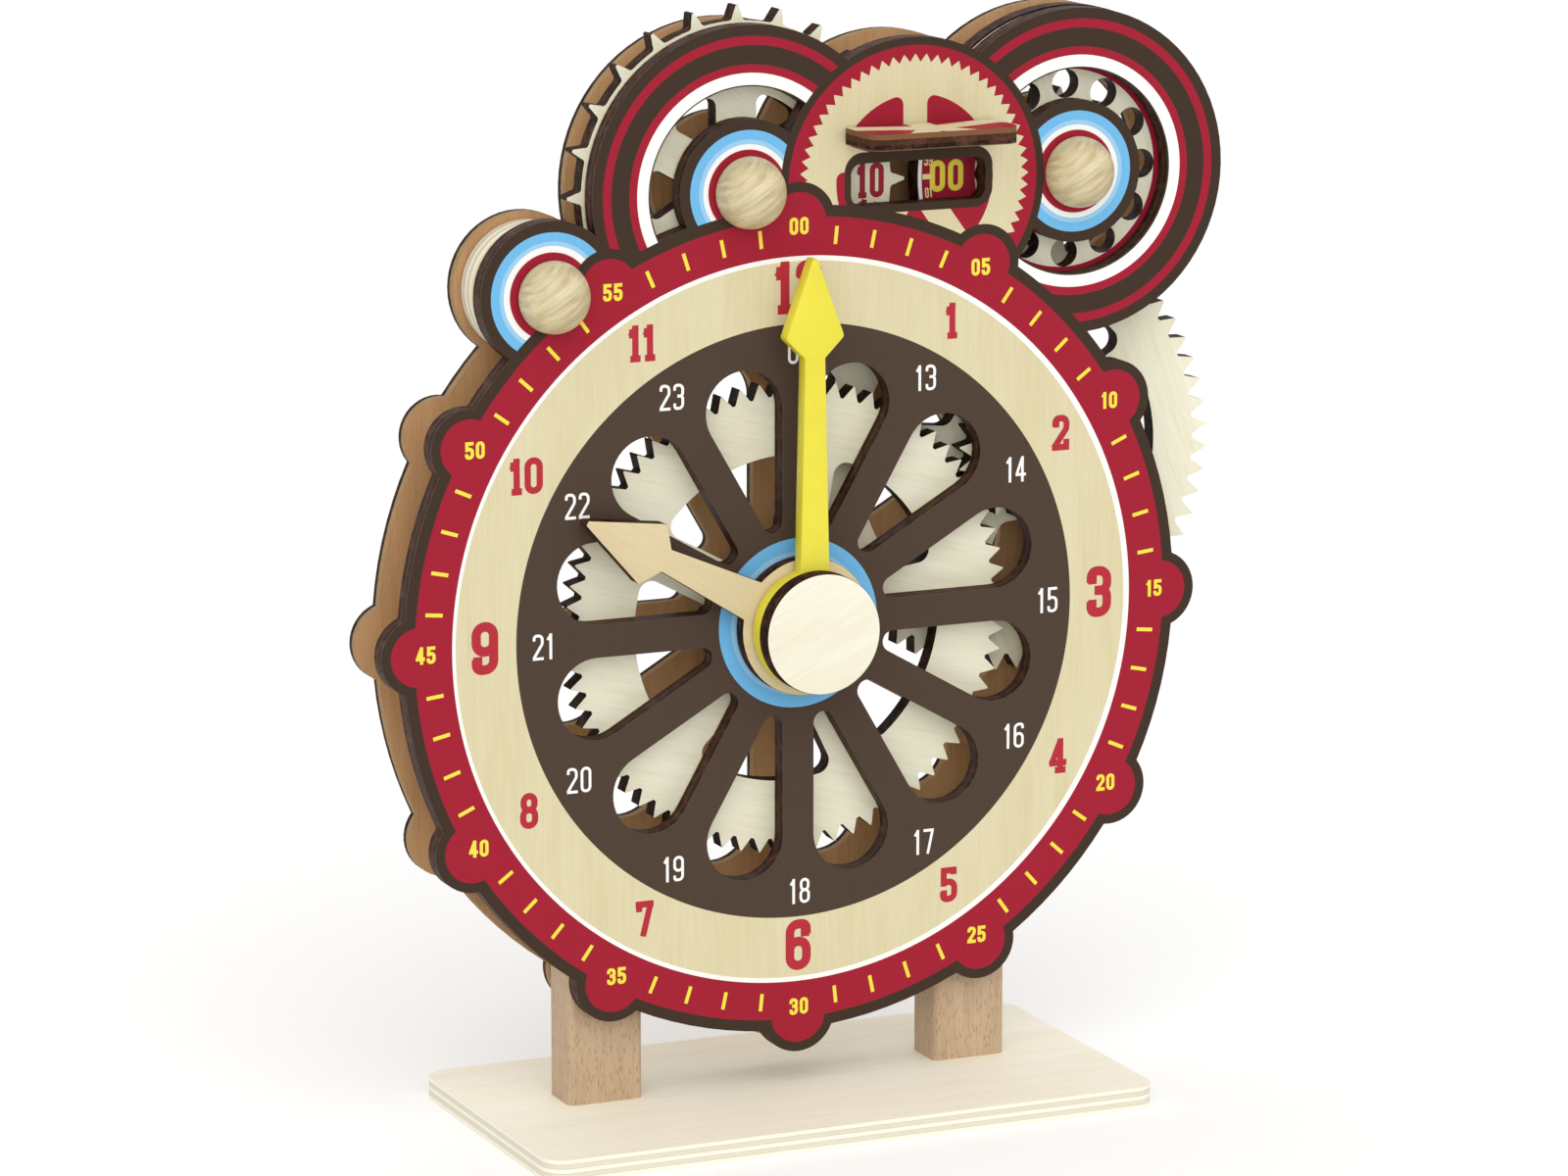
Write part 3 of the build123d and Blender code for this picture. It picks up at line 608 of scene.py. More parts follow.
def print_gear(tree, below, inks, point):
    """A cream gear with fine teeth, and red sectors between its spokes."""
    centre = shifted(MIDDLE_DISC, PRINTED_GEAR_SHIFT)
    distance = distance_to(tree, point, centre)
    bearing = bearing_of(tree, point, centre)
    turns = add_node(
        tree, "ShaderNodeMath", [bearing, PRINTED_GEAR_TEETH / math.tau, 0.5], operation="MULTIPLY_ADD"
    ).outputs[0]
    tooth = add_node(tree, "ShaderNodeMath", [turns, 0.5], operation="PINGPONG").outputs[0]
    root = PRINTED_GEAR_RADIUS - PRINTED_TOOTH_DEPTH
    rim = add_node(
        tree, "ShaderNodeMath", [tooth, 2 * PRINTED_TOOTH_DEPTH, root], operation="MULTIPLY_ADD"
    ).outputs[0]
    below = ink_within(tree, below, inks["veneer"], distance, rim)
    half_step = math.pi / PRINTED_SPOKES
    from_top = add_node(tree, "ShaderNodeMath", [bearing, math.pi / 2], operation="SUBTRACT").outputs[0]
    folded = add_node(
        tree, "ShaderNodeMath", [from_top, half_step, -half_step], operation="WRAP"
    ).outputs[0]
    sine = add_node(tree, "ShaderNodeMath", [folded], operation="SINE").outputs[0]
    across = add_node(tree, "ShaderNodeMath", [sine, distance], operation="MULTIPLY").outputs[0]
    beside = add_node(tree, "ShaderNodeMath", [across], operation="ABSOLUTE").outputs[0]
    past_spoke = add_node(
        tree, "ShaderNodeMath", [beside, PRINTED_SPOKE_WIDTH / 2], operation="SUBTRACT"
    ).outputs[0]
    inside_rim = add_node(
        tree, "ShaderNodeMath", [PRINTED_SECTOR_RADIUS, distance], operation="SUBTRACT"
    ).outputs[0]
    corner = corner_distance(tree, (past_spoke, inside_rim), PRINTED_SECTOR_CORNER)
    return ink_within(tree, below, inks["red"], corner, PRINTED_SECTOR_CORNER)


def print_window_outline(tree, below, inks, point):
    """The dark rounded frame round the display window."""
    centre = (WINDOW_OUTLINE_CENTRE[0], 0.0, WINDOW_OUTLINE_CENTRE[1])
    offset = add_node(tree, "ShaderNodeVectorMath", [point, centre], operation="SUBTRACT").outputs[0]
    size = add_node(tree, "ShaderNodeVectorMath", [offset], operation="ABSOLUTE").outputs[0]
    parts = add_node(tree, "ShaderNodeSeparateXYZ", [size]).outputs
    depths = []
    for half, part in zip(WINDOW_OUTLINE_HALF, (parts["X"], parts["Z"])):
        depths.append(add_node(tree, "ShaderNodeMath", [half, part], operation="SUBTRACT").outputs[0])
    corner = corner_distance(tree, depths, WINDOW_OUTLINE_CORNER)
    return ink_within(tree, below, inks["dark"], corner, WINDOW_OUTLINE_CORNER)


def clock_print(tree, point, veneer, has_window):
    """The whole screen print of the front plate, from its darkest coat to its last one."""
    group = bpy.context.scene.clock_inks
    names = ("red", "dark", "brown", "blue", "pale_blue", "white")
    inks = {name: rgba(getattr(group, name)) for name in names}
    inks["veneer"] = veneer
    below = inks["dark"]
    for centre, bands in (
        (LEFT_RING, BIG_RING_BANDS),
        (RIGHT_RING, BIG_RING_BANDS),
        (SMALL_DISC, SMALL_DISC_BANDS),
        (MIDDLE_DISC, MIDDLE_DISC_BANDS),
    ):
        below = print_bands(tree, below, inks, distance_to(tree, point, centre), bands)
    below = print_gear(tree, below, inks, point)
    if has_window:
        below = print_window_outline(tree, below, inks, point)
    from_dial = distance_to(tree, point, DIAL)
    from_lobe = distance_to_lobe(tree, point)
    for ink, ring_radius, lobe_radius in RIM_COATS:
        below = ink_within(tree, below, inks[ink], from_dial, ring_radius)
        below = ink_within(tree, below, inks[ink], from_lobe, lobe_radius)
    below = ink_within(tree, below, inks["white"], from_dial, DIAL_WHITE_RADIUS)
    from_bare = distance_to(tree, point, shifted(DIAL, DIAL_VENEER_SHIFT))
    below = ink_within(tree, below, veneer, from_bare, DIAL_VENEER_RADIUS)
    return print_bands(tree, below, inks, from_dial, DIAL_BANDS)


def printed_plywood(name, node, folded_out=False):
    """Screen-printed birch plywood: satin ink that lets a little of the grain through.

    The shutter stands folded out, and carries the print that it shows when it is shut.
    """
    woods = bpy.context.scene.clock_woods
    material, tree = new_material(name)
    veneer, pores = wood_grain(
        tree, woods.birch, woods.birch_dark, 0.0, streak=9.0, pore_strength=0.22
    )
    axis = "Z" if folded_out else "Y"
    front, back = sheet_of(node, axis)
    depth = depth_along(tree, axis)
    # The printed plates show their middle ply and a painted highlight along the front corner of each
    # cut edge
    edge = burnt_edge(tree, woods, depth, (front, back), ply_and_highlight_share=0.35)
    if folded_out:
        printed_face = back
        turned = math.radians(90.0)
        shift = (HINGE.z - DIAL.z - HINGE.y) / MM
        light_ply = back - (back - front) * SHUTTER_LIGHT_PLY
        is_light = add_node(
            tree, "ShaderNodeMath", [depth, light_ply], operation="GREATER_THAN"
        ).outputs[0]
        edge = painted_over(tree, edge, (is_light, rgba(woods.flap_edge)))
    else:
        printed_face = front
        turned = 0.0
        shift = -DIAL.z / MM
    shut = add_node(
        tree, "ShaderNodeMapping",
        {"Vector": object_point(tree), "Rotation": (turned, 0.0, 0.0), "Location": (0.0, 0.0, shift)},
    ).outputs[0]
    point = add_node(
        tree, "ShaderNodeVectorMath", [shut, (1.0, 0.0, 1.0)], operation="MULTIPLY"
    ).outputs[0]
    printed = clock_print(tree, point, veneer, has_window=not folded_out)
    # The pores of the wood show through the ink as slightly darker lines
    worn = add_node(
        tree, "ShaderNodeVectorMath", {"Vector": printed, "Scale": 0.92}, operation="SCALE"
    ).outputs[0]
    printed = painted_over(tree, printed, (pores, worn))
    on_face = add_node(
        tree, "ShaderNodeMath", [depth, printed_face, PRINT_DEPTH], operation="COMPARE"
    ).outputs[0]
    colour = painted_over(tree, edge, (facing(tree, axis), veneer), (on_face, printed))
    finish_surface(tree, colour, pores, 0.08, {"Roughness": 0.5, "Specular IOR Level": 0.06})
    return material


def printed_number_wheel():
    """The minute number wheel: a red ring on pale birch, with a white rim and burnt edges."""
    inks = bpy.context.scene.clock_inks
    woods = bpy.context.scene.clock_woods
    sheet = sheet_of("minute_number_wheel")
    material, tree = new_material("screen_printed_number_birch")
    veneer, pores = wood_grain(tree, woods.pale, woods.pale_dark, 20.0)
    depth = depth_along(tree, "Y")
    flat = add_node(
        tree, "ShaderNodeVectorMath", [object_point(tree), (1.0, 0.0, 1.0)], operation="MULTIPLY"
    ).outputs[0]
    centre = (RIGHT_RING.x / MM, 0.0, RIGHT_RING.z / MM)
    distance = add_node(
        tree, "ShaderNodeVectorMath", [flat, centre], operation="DISTANCE"
    ).outputs["Value"]
    coats = {"white": rgba(inks.white), "wheel_red": rgba(inks.wheel_red), "veneer": veneer}
    printed = print_bands(tree, rgba(woods.burnt), coats, distance, NUMBER_WHEEL_BANDS)
    on_face = add_node(
        tree, "ShaderNodeMath", [depth, sheet[0], PRINT_DEPTH], operation="COMPARE"
    ).outputs[0]
    edge = burnt_edge(tree, woods, depth, sheet)
    colour = painted_over(tree, edge, (facing(tree, "Y"), veneer), (on_face, printed))
    finish_surface(tree, colour, pores, 0.08, {"Roughness": 0.5, "Specular IOR Level": 0.06})
    return material


def stacked_birch(name, light, dark, node, axis, plies, angle, glue=0.7):
    """Sanded birch plywood with clean edges, where pale and darker plies take turns.

    glue is how bright the glue lines are beside the dark colour.
    """
    material, tree = new_material(name)
    veneer, pores = wood_grain(tree, light, dark, angle, fine=1.1, streak=14.0)
    front, back = sheet_of(node, axis)
    inside = add_node(
        tree, "ShaderNodeMapRange",
        {
            "Value": depth_along(tree, axis), "From Min": front, "From Max": back,
            "To Min": 0.0, "To Max": plies,
        },
    ).outputs[0]
    pair = add_node(tree, "ShaderNodeMath", [inside, 2.0], operation="MODULO").outputs[0]
    is_end_grain = add_node(tree, "ShaderNodeMath", [pair, 1.0], operation="GREATER_THAN").outputs[0]
    from_glue = add_node(tree, "ShaderNodeMath", [inside, 0.5], operation="PINGPONG").outputs[0]
    is_glue = add_node(
        tree, "ShaderNodeMath", [from_glue, GLUE_HALF_WIDTH], operation="LESS_THAN"
    ).outputs[0]
    # Fibres of a third of a millimetre mottle each ply, and plies that show end grain are darker
    fibre = stretched_noise(tree, object_point(tree), (2.0, 2.0, 1 / 3), 5.0)
    long_grain = painted_over(tree, rgba(light), (fibre, rgba(light, 0.95)))
    end_grain = painted_over(tree, rgba(light, 0.86), (fibre, rgba(dark, 0.8)))
    edge = painted_over(tree, long_grain, (is_end_grain, end_grain), (is_glue, rgba(dark, glue)))
    colour = painted_over(tree, edge, (facing(tree, axis), veneer))
    finish_surface(tree, colour, pores, 0.1, {"Roughness": 0.62, "Specular IOR Level": 0.3})
    return material


def planed_beech():
    """Beech: pinkish tan with the short dark ray flecks that mark it, oiled only by handling."""
    woods = bpy.context.scene.clock_woods
    material, tree = new_material("planed_beech")
    grain, pores = wood_grain(
        tree, woods.beech, woods.beech_dark, 0.0, fine=0.6, streak=6.0, strength=0.42
    )
    # Flecks are about 0.3 mm wide and 2 mm long, with one to every few square mm
    fleck_point = add_node(
        tree, "ShaderNodeMapping", {"Vector": object_point(tree), "Scale": (1.5, 1.5, 0.26)}
    ).outputs[0]
    fleck = add_node(
        tree, "ShaderNodeTexVoronoi", {"Vector": fleck_point, "Scale": 1.0}
    ).outputs["Distance"]
    colour = mottled(tree, grain, rgba(woods.beech_fleck), (fleck, 0.34, 0.1, 0.8))
    finish_surface(tree, colour, pores, 0.1, {"Roughness": 0.55, "Specular IOR Level": 0.35})
    return material


def turned_wood(name, centre, grain=KNOB_GRAIN):
    """Turned hardwood with a thin clear varnish: soft growth lines about 2 mm apart and a low shine.

    grain turns the growth lines from upright, as Euler angles round the piece's centre.
    """
    woods = bpy.context.scene.clock_woods
    material, tree = new_material(name)
    point = add_node(
        tree, "ShaderNodeMapping", {"Vector": object_point(tree), "Location": -centre / MM}
    ).outputs[0]
    lines = stretched_noise(tree, point, (2.0, 7.0, 22.0), 2.0, distortion=0.4, angles=grain)
    pores = stretched_noise(tree, point, (0.4, 1.5, 4.0), 4.0, angles=grain)
    colour = mottled(
        tree, rgba(woods.turned), rgba(woods.turned_dark),
        (lines, 0.4, 0.64, 0.7),
        (pores, 0.5, 0.72, 0.4),
    )
    varnish = {"Roughness": 0.42, "Coat Weight": 0.15, "Coat Roughness": 0.3}
    finish_surface(tree, colour, pores, 0.05, varnish)
    return material


def sprayed_paint(name, colour):
    """Sprayed satin paint on sanded wood: even colour, with a slight orange peel of about 0.6 mm
    and thin spots about 8 mm across.
    """
    material, tree = new_material(name)
    point = object_point(tree)
    thin = add_node(
        tree, "ShaderNodeTexNoise", {"Vector": point, "Scale": 0.12, "Detail": 4.0}
    ).outputs[0]
    peel = add_node(
        tree, "ShaderNodeTexNoise", {"Vector": point, "Scale": 1.6, "Detail": 2.0}
    ).outputs[0]
    tinted = mottled(tree, rgba(colour), rgba(colour, 0.88), (thin, 0.35, 0.7, 0.35))
    finish_surface(tree, tinted, peel, 0.05, {"Roughness": 0.38})
    return material


def screen_ink(name, colour):
    """Screen ink: an opaque satin film, a little uneven where it met the grain, over spots
    nearly 1 mm wide and 5 mm long.
    """
    material, tree = new_material(name)
    uneven = stretched_noise(tree, object_point(tree), (5 / 6, 5 / 6, 5.0), 3.0)
    tinted = mottled(tree, rgba(colour), rgba(colour, 0.85), (uneven, 0.4, 0.75, 0.3))
    finish_surface(tree, tinted, uneven, 0.03, {"Roughness": 0.5, "Specular IOR Level": 0.15})
    return material


def worked_metal(name, colour, roughness):
    """Plain metal hardware: rolled or plated, with fine scratches that blur its shine. They are
    drawn a quarter of a millimetre apart, coarser than real ones, so that they show.
    """
    material, tree = new_material(name)
    scratches = stretched_noise(tree, object_point(tree), (5 / 3, 0.25, 0.25), 5.0)
    blurred = add_node(
        tree, "ShaderNodeMapRange",
        {
            "Value": scratches, "From Min": 0.3, "From Max": 0.7,
            "To Min": roughness - 0.08, "To Max": roughness + 0.1,
        },
    ).outputs[0]
    tinted = painted_over(tree, rgba(colour), (scratches, rgba(colour, 0.8)))
    finish_surface(tree, tinted, scratches, 0.02, {"Metallic": 1.0, "Roughness": blurred})
    return material


def moulded_nylon(light, dark):
    """Moulded nylon washers: milky white and waxy, with faint clouds about 3 mm across."""
    material, tree = new_material("moulded_nylon")
    cloud = add_node(
        tree, "ShaderNodeTexNoise", {"Vector": object_point(tree), "Scale": 0.3, "Detail": 3.0}
    ).outputs[0]
    tinted = painted_over(tree, rgba(light), (cloud, rgba(dark)))
    finish_surface(tree, tinted, cloud, 0.02, {"Roughness": 0.4})
    return material


def dress(nodes, material):
    """Gives CAD nodes one material."""
    for name in nodes:
        mesh = frame["nodes"][name].data
        mesh.materials.clear()
        mesh.materials.append(material)


def finish_piece(bm, name, body, material, replaced=(), smooth=SMOOTH_EDGE):
    """Turns a bmesh into a piece that rides on a body and takes the place of its CAD nodes."""
    mesh = bpy.data.meshes.new(name)
    bm.to_mesh(mesh)
    bm.free()
    mesh.materials.append(material)
    piece = bpy.data.objects.new(name, mesh)
    bpy.context.scene.collection.objects.link(piece)
    mesh.shade_smooth()
    mesh.set_sharp_from_angle(angle=smooth)
    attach(piece, body)
    if replaced:
        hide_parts(*replaced)
    return piece


def arc_points(centre, radius, start, end, steps):
    """Points along an arc, as (radius, depth) pairs for turning. Its angles are in degrees."""
    points = []
    for step in range(steps + 1):
        angle = math.radians(start + (end - start) * step / steps)
        points.append((centre[0] + radius * math.cos(angle), centre[1] + radius * math.sin(angle)))
    return points


def turn(profile, centre):
    """Spins a profile of (radius, depth) pairs in mm round a line through the centre along Y."""
    middle = Vector((centre.x, 0.0, centre.z))
    bm = bmesh.new()
    verts = [bm.verts.new(middle + Vector((radius, depth, 0.0)) * MM) for radius, depth in profile]
    edges = [bm.edges.new(pair) for pair in zip(verts, verts[1:])]
    bmesh.ops.spin(
        bm, geom=verts + edges, cent=middle, axis=(0, 1, 0), angle=math.tau, steps=TURNING_STEPS,
        use_merge=True,
    )
    bmesh.ops.remove_doubles(bm, verts=bm.verts, dist=MERGE_DISTANCE)
    bmesh.ops.recalc_face_normals(bm, faces=bm.faces)
    return bm


def rounded_disc(radius, low, high, corner):
    """The profile of a disc with rounded edges, from its axis and back again."""
    front = arc_points((radius - corner, low + corner), corner, -90, 0, ARC_STEPS)
    back = arc_points((radius - corner, high - corner), corner, 0, 90, ARC_STEPS)
    return [(0.0, low), *front, *back, (0.0, high)]


def soften(node, width):
    """A copy of a CAD node with its triangles merged and its sharp edges eased. width is in metres."""
    bm = bmesh.new()
    bm.from_mesh(frame["nodes"][node].data)
    bmesh.ops.remove_doubles(bm, verts=bm.verts, dist=MERGE_DISTANCE)
    bmesh.ops.dissolve_limit(bm, angle_limit=FLAT_EDGE, verts=bm.verts, edges=bm.edges)
    sharp = [
        edge for edge in bm.edges
        if len(edge.link_faces) == 2 and edge.calc_face_angle() > SHARP_EDGE
    ]
    bmesh.ops.bevel(
        bm, geom=sharp, offset=width, affect="EDGES", segments=2, profile=0.5, material=-1,
        clamp_overlap=True,
    )
    bmesh.ops.triangulate(bm, faces=[face for face in bm.faces if len(face.verts) > 4])
    return bm


# Each digit is drawn in a box from (0, 0) to (1, 1). A loop is closed, and a stroke is open
DIGITS = {
    "0": [("loop", (0, 0), (1, 0), (1, 1), (0, 1))],
    "1": [("stroke", (0.62, 0), (0.62, 1)), ("stroke", (0.12, 0.84), (0.5, 0.96))],
    "2": [
        ("stroke", (0, 0.84), (0, 1), (1, 1), (1, 0.64), (0.04, 0.08)),
        ("stroke", (0, 0), (1, 0)),
    ],
    "3": [
        ("stroke", (0, 0.84), (0, 1), (1, 1), (1, 0.53), (0.5, 0.53)),
        ("stroke", (0.5, 0.53), (1, 0.53), (1, 0), (0, 0), (0, 0.16)),
    ],
    "4": [
        ("stroke", (0.72, 0), (0.72, 1)),
        ("stroke", (0.62, 0.94), (0.02, 0.32)),
        ("stroke", (0, 0.26), (1, 0.26)),
    ],
    "5": [
        ("stroke", (0.94, 1), (0.06, 1)),
        ("stroke", (0.06, 1), (0.06, 0.56)),
        ("stroke", (0.06, 0.6), (1, 0.6), (1, 0), (0, 0), (0, 0.16)),
    ],
    "6": [
        ("loop", (0, 0), (1, 0), (1, 0.58), (0, 0.58)),
        ("stroke", (0, 0.4), (0, 1), (1, 1), (1, 0.86)),
    ],
    "7": [("stroke", (0, 1), (1, 1)), ("stroke", (0.98, 0.94), (0.42, 0))],
    "8": [
        ("loop", (0, 0), (1, 0), (1, 0.53), (0, 0.53)),
        ("loop", (0.05, 0.53), (0.95, 0.53), (0.95, 1), (0.05, 1)),
    ],
    "9": [
        ("loop", (0, 0.42), (1, 0.42), (1, 1), (0, 1)),
        ("stroke", (1, 0.6), (1, 0), (0, 0), (0, 0.14)),
    ],
}

# The slabs that the large hour numbers have besides
SLABS = {
    "1": [("stroke", (0.3, 0), (0.94, 0)), ("stroke", (0.12, 0.88), (0.12, 0.8))],
    "2": [("stroke", (1, 0.02), (1, 0.16)), ("stroke", (0.1, 0.8), (0.1, 0.84))],
    "3": [("stroke", (0.1, 0.8), (0.1, 0.84)), ("stroke", (0.1, 0.16), (0.1, 0.2))],
    "4": [("stroke", (0.5, 0), (0.94, 0))],
    "5": [("stroke", (0.94, 1), (0.94, 0.96)), ("stroke", (0.1, 0.16), (0.1, 0.2))],
    "6": [("stroke", (0.92, 0.84), (0.92, 0.8))],
    "7": [("stroke", (0.04, 1), (0.04, 0.86))],
    "9": [("stroke", (0.08, 0.16), (0.08, 0.2))],
}


def rounded_path(corners, radius, closed):
    """Points along a path whose corners are turned in arcs."""
    points = []
    count = len(corners)
    for index, corner in enumerate(corners):
        if not closed and index in (0, count - 1):
            points.append(corner)
            continue
        back = corners[index - 1] - corner
        ahead = corners[(index + 1) % count] - corner
        half_angle = back.angle(ahead) / 2
        reach = min(radius / math.tan(half_angle), back.length / 2, ahead.length / 2)
        bisector = (back.normalized() + ahead.normalized()).normalized()
        arc_centre = corner + bisector * (reach / math.cos(half_angle))
        start = corner + back.normalized() * reach - arc_centre
        end = corner + ahead.normalized() * reach - arc_centre
        for step in range(CORNER_STEPS + 1):
            direction = start.normalized().slerp(end.normalized(), step / CORNER_STEPS)
            points.append(arc_centre + direction * start.length)
    return points


def digit_strokes(digit, width, height, weight, slabs):
    """The strokes of one digit in a box whose lower left corner is at the origin."""
    inset = weight / 2
    inner_width = width - weight
    inner_height = height - weight
    shapes = DIGITS[digit] + (SLABS.get(digit, []) if slabs else [])
    strokes = []
    for kind, *corners in shapes:
        closed = kind == "loop"
        placed = [Vector((inset + x * inner_width, inset + y * inner_height)) for x, y in corners]
        if not closed:
            placed[0] = placed[0] + (placed[0] - placed[1]).normalized() * inset
            placed[-1] = placed[-1] + (placed[-1] - placed[-2]).normalized() * inset
        strokes.append((rounded_path(placed, inner_width * DIGIT_CORNER, closed), closed, weight))
    return strokes


def label_strokes(text, place, height, lettering, turned=0.0, slabs=False):
    """The strokes of a number, centred on a place in mm and turned by an angle in radians."""
    digit_width, stroke_width = (height * share for share in lettering[:2])
    gap = stroke_width * lettering[2]
    widths = [digit_width * (NARROW_ONE if digit == "1" else 1.0) for digit in text]
    x = -(sum(widths) + gap * (len(text) - 1)) / 2
    rotation = Matrix.Rotation(turned, 2)
    strokes = []
    for digit, width in zip(text, widths):
        corner = Vector((x, -height / 2))
        for points, closed, line in digit_strokes(digit, width, height, stroke_width, slabs):
            strokes.append(([rotation @ (point + corner) + place for point in points], closed, line))
        x += width + gap
    return strokes


def polar(radius, bearing):
    """The place at a distance from the origin, in a direction given in radians."""
    return Vector((radius * math.cos(bearing), radius * math.sin(bearing)))


def tick_stroke(centre, tick, bearing):
    """A short line that points at a centre."""
    inner, outer, width = tick
    return ([centre + polar(inner, bearing), centre + polar(outer, bearing)], False, width)


def ink_strokes(name, strokes, face, body, material):
    """Flat lines of ink on a face that looks towards -Y. face is its depth in metres."""
    curve = bpy.data.curves.new(name, "CURVE")
    curve.dimensions = "3D"
    # Half a millimetre thick at radius 1, so the radius of a point is the width of its line in mm
    curve.bevel_depth = 0.5 * MM
    curve.bevel_resolution = 2
    curve.use_fill_caps = True
    widest = max(width for _, _, width in strokes) * MM
    flatten = bpy.context.scene.clock_sizes.ink / widest
    for index, (points, closed, width) in enumerate(strokes):
        lift = STROKE_LAYER_STEP * MM * (index % STROKE_LAYERS) / flatten
        spline = curve.splines.new("POLY")
        spline.points.add(len(points) - 1)
        spline.use_cyclic_u = closed
        for control, point in zip(spline.points, points):
            control.co = (DIAL.x + point.x * MM, -lift, DIAL.z + point.y * MM, 1.0)
            control.radius = width
    holder = bpy.data.objects.new(name + "_lines", curve)
    bpy.context.scene.collection.objects.link(holder)
    bpy.context.view_layer.update()
    evaluated = holder.evaluated_get(bpy.context.evaluated_depsgraph_get())
    mesh = bpy.data.meshes.new_from_object(evaluated)
    bpy.data.objects.remove(holder)
    bpy.data.curves.remove(curve)
    bm = bmesh.new()
    bm.from_mesh(mesh)
    bpy.data.meshes.remove(mesh)
    bmesh.ops.scale(bm, vec=(1.0, flatten, 1.0), verts=bm.verts)
    bmesh.ops.translate(bm, vec=(0.0, face, 0.0), verts=bm.verts)
    return finish_piece(bm, name, body, material, smooth=SMOOTH_INK_EDGE)


def seen_directly(tree):
    """1 for rays from the camera or off metal and glass, and 0 for the light on the object."""
    path = add_node(tree, "ShaderNodeLightPath").outputs
    seen = path["Is Camera Ray"]
    for kind in ("Is Glossy Ray", "Is Transmission Ray"):
        seen = add_node(
            tree, "ShaderNodeMath", [seen, path[kind]], operation="ADD", use_clamp=True
        ).outputs[0]
    return seen


def studio_paper(settings):
    """Seamless studio paper: even white with a faint fibre of about 1 mm, lit a little more for
    the eye alone.
    """
    material, tree = new_material("studio_paper")
    point = add_node(tree, "ShaderNodeTexCoord").outputs["Object"]
    fibre = add_node(
        tree, "ShaderNodeTexNoise", {"Vector": point, "Scale": 900.0, "Detail": 2.0}
    ).outputs[0]
    tinted = painted_over(tree, rgba(settings.paper), (fibre, rgba(settings.paper_fibre)))
    paper = add_node(
        tree, "ShaderNodeBsdfPrincipled",
        {"Base Color": tinted, "Roughness": 0.9, "Specular IOR Level": 0.0},
    )
    glow = add_node(
        tree, "ShaderNodeMath", [seen_directly(tree), settings.floor_glow], operation="MULTIPLY"
    ).outputs[0]
    shine = add_node(tree, "ShaderNodeEmission", {"Color": (1.0, 1.0, 1.0, 1.0), "Strength": glow})
    both = add_node(tree, "ShaderNodeAddShader", [paper.outputs[0], shine.outputs[0]])
    add_node(tree, "ShaderNodeOutputMaterial", [both.outputs[0]])
    return material


def add_floor(scene):
    """A wide sheet of paper under the clock."""
    bm = bmesh.new()
    bmesh.ops.create_grid(bm, x_segments=1, y_segments=1, size=scene.clock_stage.floor_size / 2)
    bmesh.ops.translate(bm, vec=(0.0, 0.0, STAND_LOW.z), verts=bm.verts)
    mesh = bpy.data.meshes.new("studio_floor")
    bm.to_mesh(mesh)
    bm.free()
    mesh.materials.append(studio_paper(scene.clock_stage))
    floor = bpy.data.objects.new("studio_floor", mesh)
    scene.collection.objects.link(floor)


def add_light(scene):
    """A large soft light from in front and above, and an even sky that the camera sees as white."""
    settings = scene.clock_stage
    world = bpy.data.worlds.new("studio_sky")
    world.use_nodes = True
    tree = world.node_tree
    tree.nodes.clear()
    strength = add_node(
        tree, "ShaderNodeMapRange",
        {
            "Value": seen_directly(tree), "From Min": 0.0, "From Max": 1.0,
            "To Min": settings.sky_strength, "To Max": 1.0,
        },
    ).outputs[0]
    sky = add_node(tree, "ShaderNodeBackground", {"Color": (1.0, 1.0, 1.0, 1.0), "Strength": strength})
    add_node(tree, "ShaderNodeOutputWorld", [sky.outputs[0]])
    scene.world = world

    sun = bpy.data.lights.new("key_light", "SUN")
    sun.energy = settings.sun_strength
    sun.angle = settings.sun_width
    key = bpy.data.objects.new("key_light", sun)
    key.rotation_mode = "QUATERNION"
    key.rotation_quaternion = TOWARDS_LIGHT.to_track_quat("Z", "Y")
    scene.collection.objects.link(key)


def add_camera(scene):
    """A camera at the photograph's viewing angle, aimed a little past the middle of the dial."""
    lens = bpy.data.cameras.new("camera")
    lens.sensor_fit = "HORIZONTAL"
    lens.sensor_width = CAMERA_SENSOR
    lens.lens = CAMERA_LENS
    camera = bpy.data.objects.new("camera", lens)
    back = Vector((
        math.sin(CAMERA_AZIMUTH) * math.cos(CAMERA_ELEVATION),
        -math.cos(CAMERA_AZIMUTH) * math.cos(CAMERA_ELEVATION),
        math.sin(CAMERA_ELEVATION),
    ))
    right = (-back).cross(Vector((0.0, 0.0, 1.0))).normalized()
    up = right.cross(-back)
    face_centre = Vector((DIAL.x, FACE, DIAL.z))
    place = face_centre - right * CAMERA_SHIFT[0] - up * CAMERA_SHIFT[1] + back * CAMERA_DISTANCE
    camera.matrix_world = Matrix.Translation(place) @ Matrix((right, up, back)).transposed().to_4x4()
    scene.collection.objects.link(camera)
    scene.camera = camera


class CLOCK_OT_plates(bpy.types.Operator):
    """Print the front plate and the shutter, and veneer the back plate"""

    bl_idname = "clock.plates"
    bl_label = "Plates"

    def execute(self, context):
        woods = context.scene.clock_woods
        dress(["front_plate"], printed_plywood("screen_printed_birch", "front_plate"))
        flap = printed_plywood("screen_printed_shutter_birch", "shutter_flap", folded_out=True)
        dress(["shutter_flap"], flap)
        veneer = laser_cut_plywood(
            "laser_cut_tan_veneer", woods.tan, woods.tan_dark, "back_plate", toasted=woods.toasted
        )
        dress(["back_plate"], veneer)
        return {"FINISHED"}


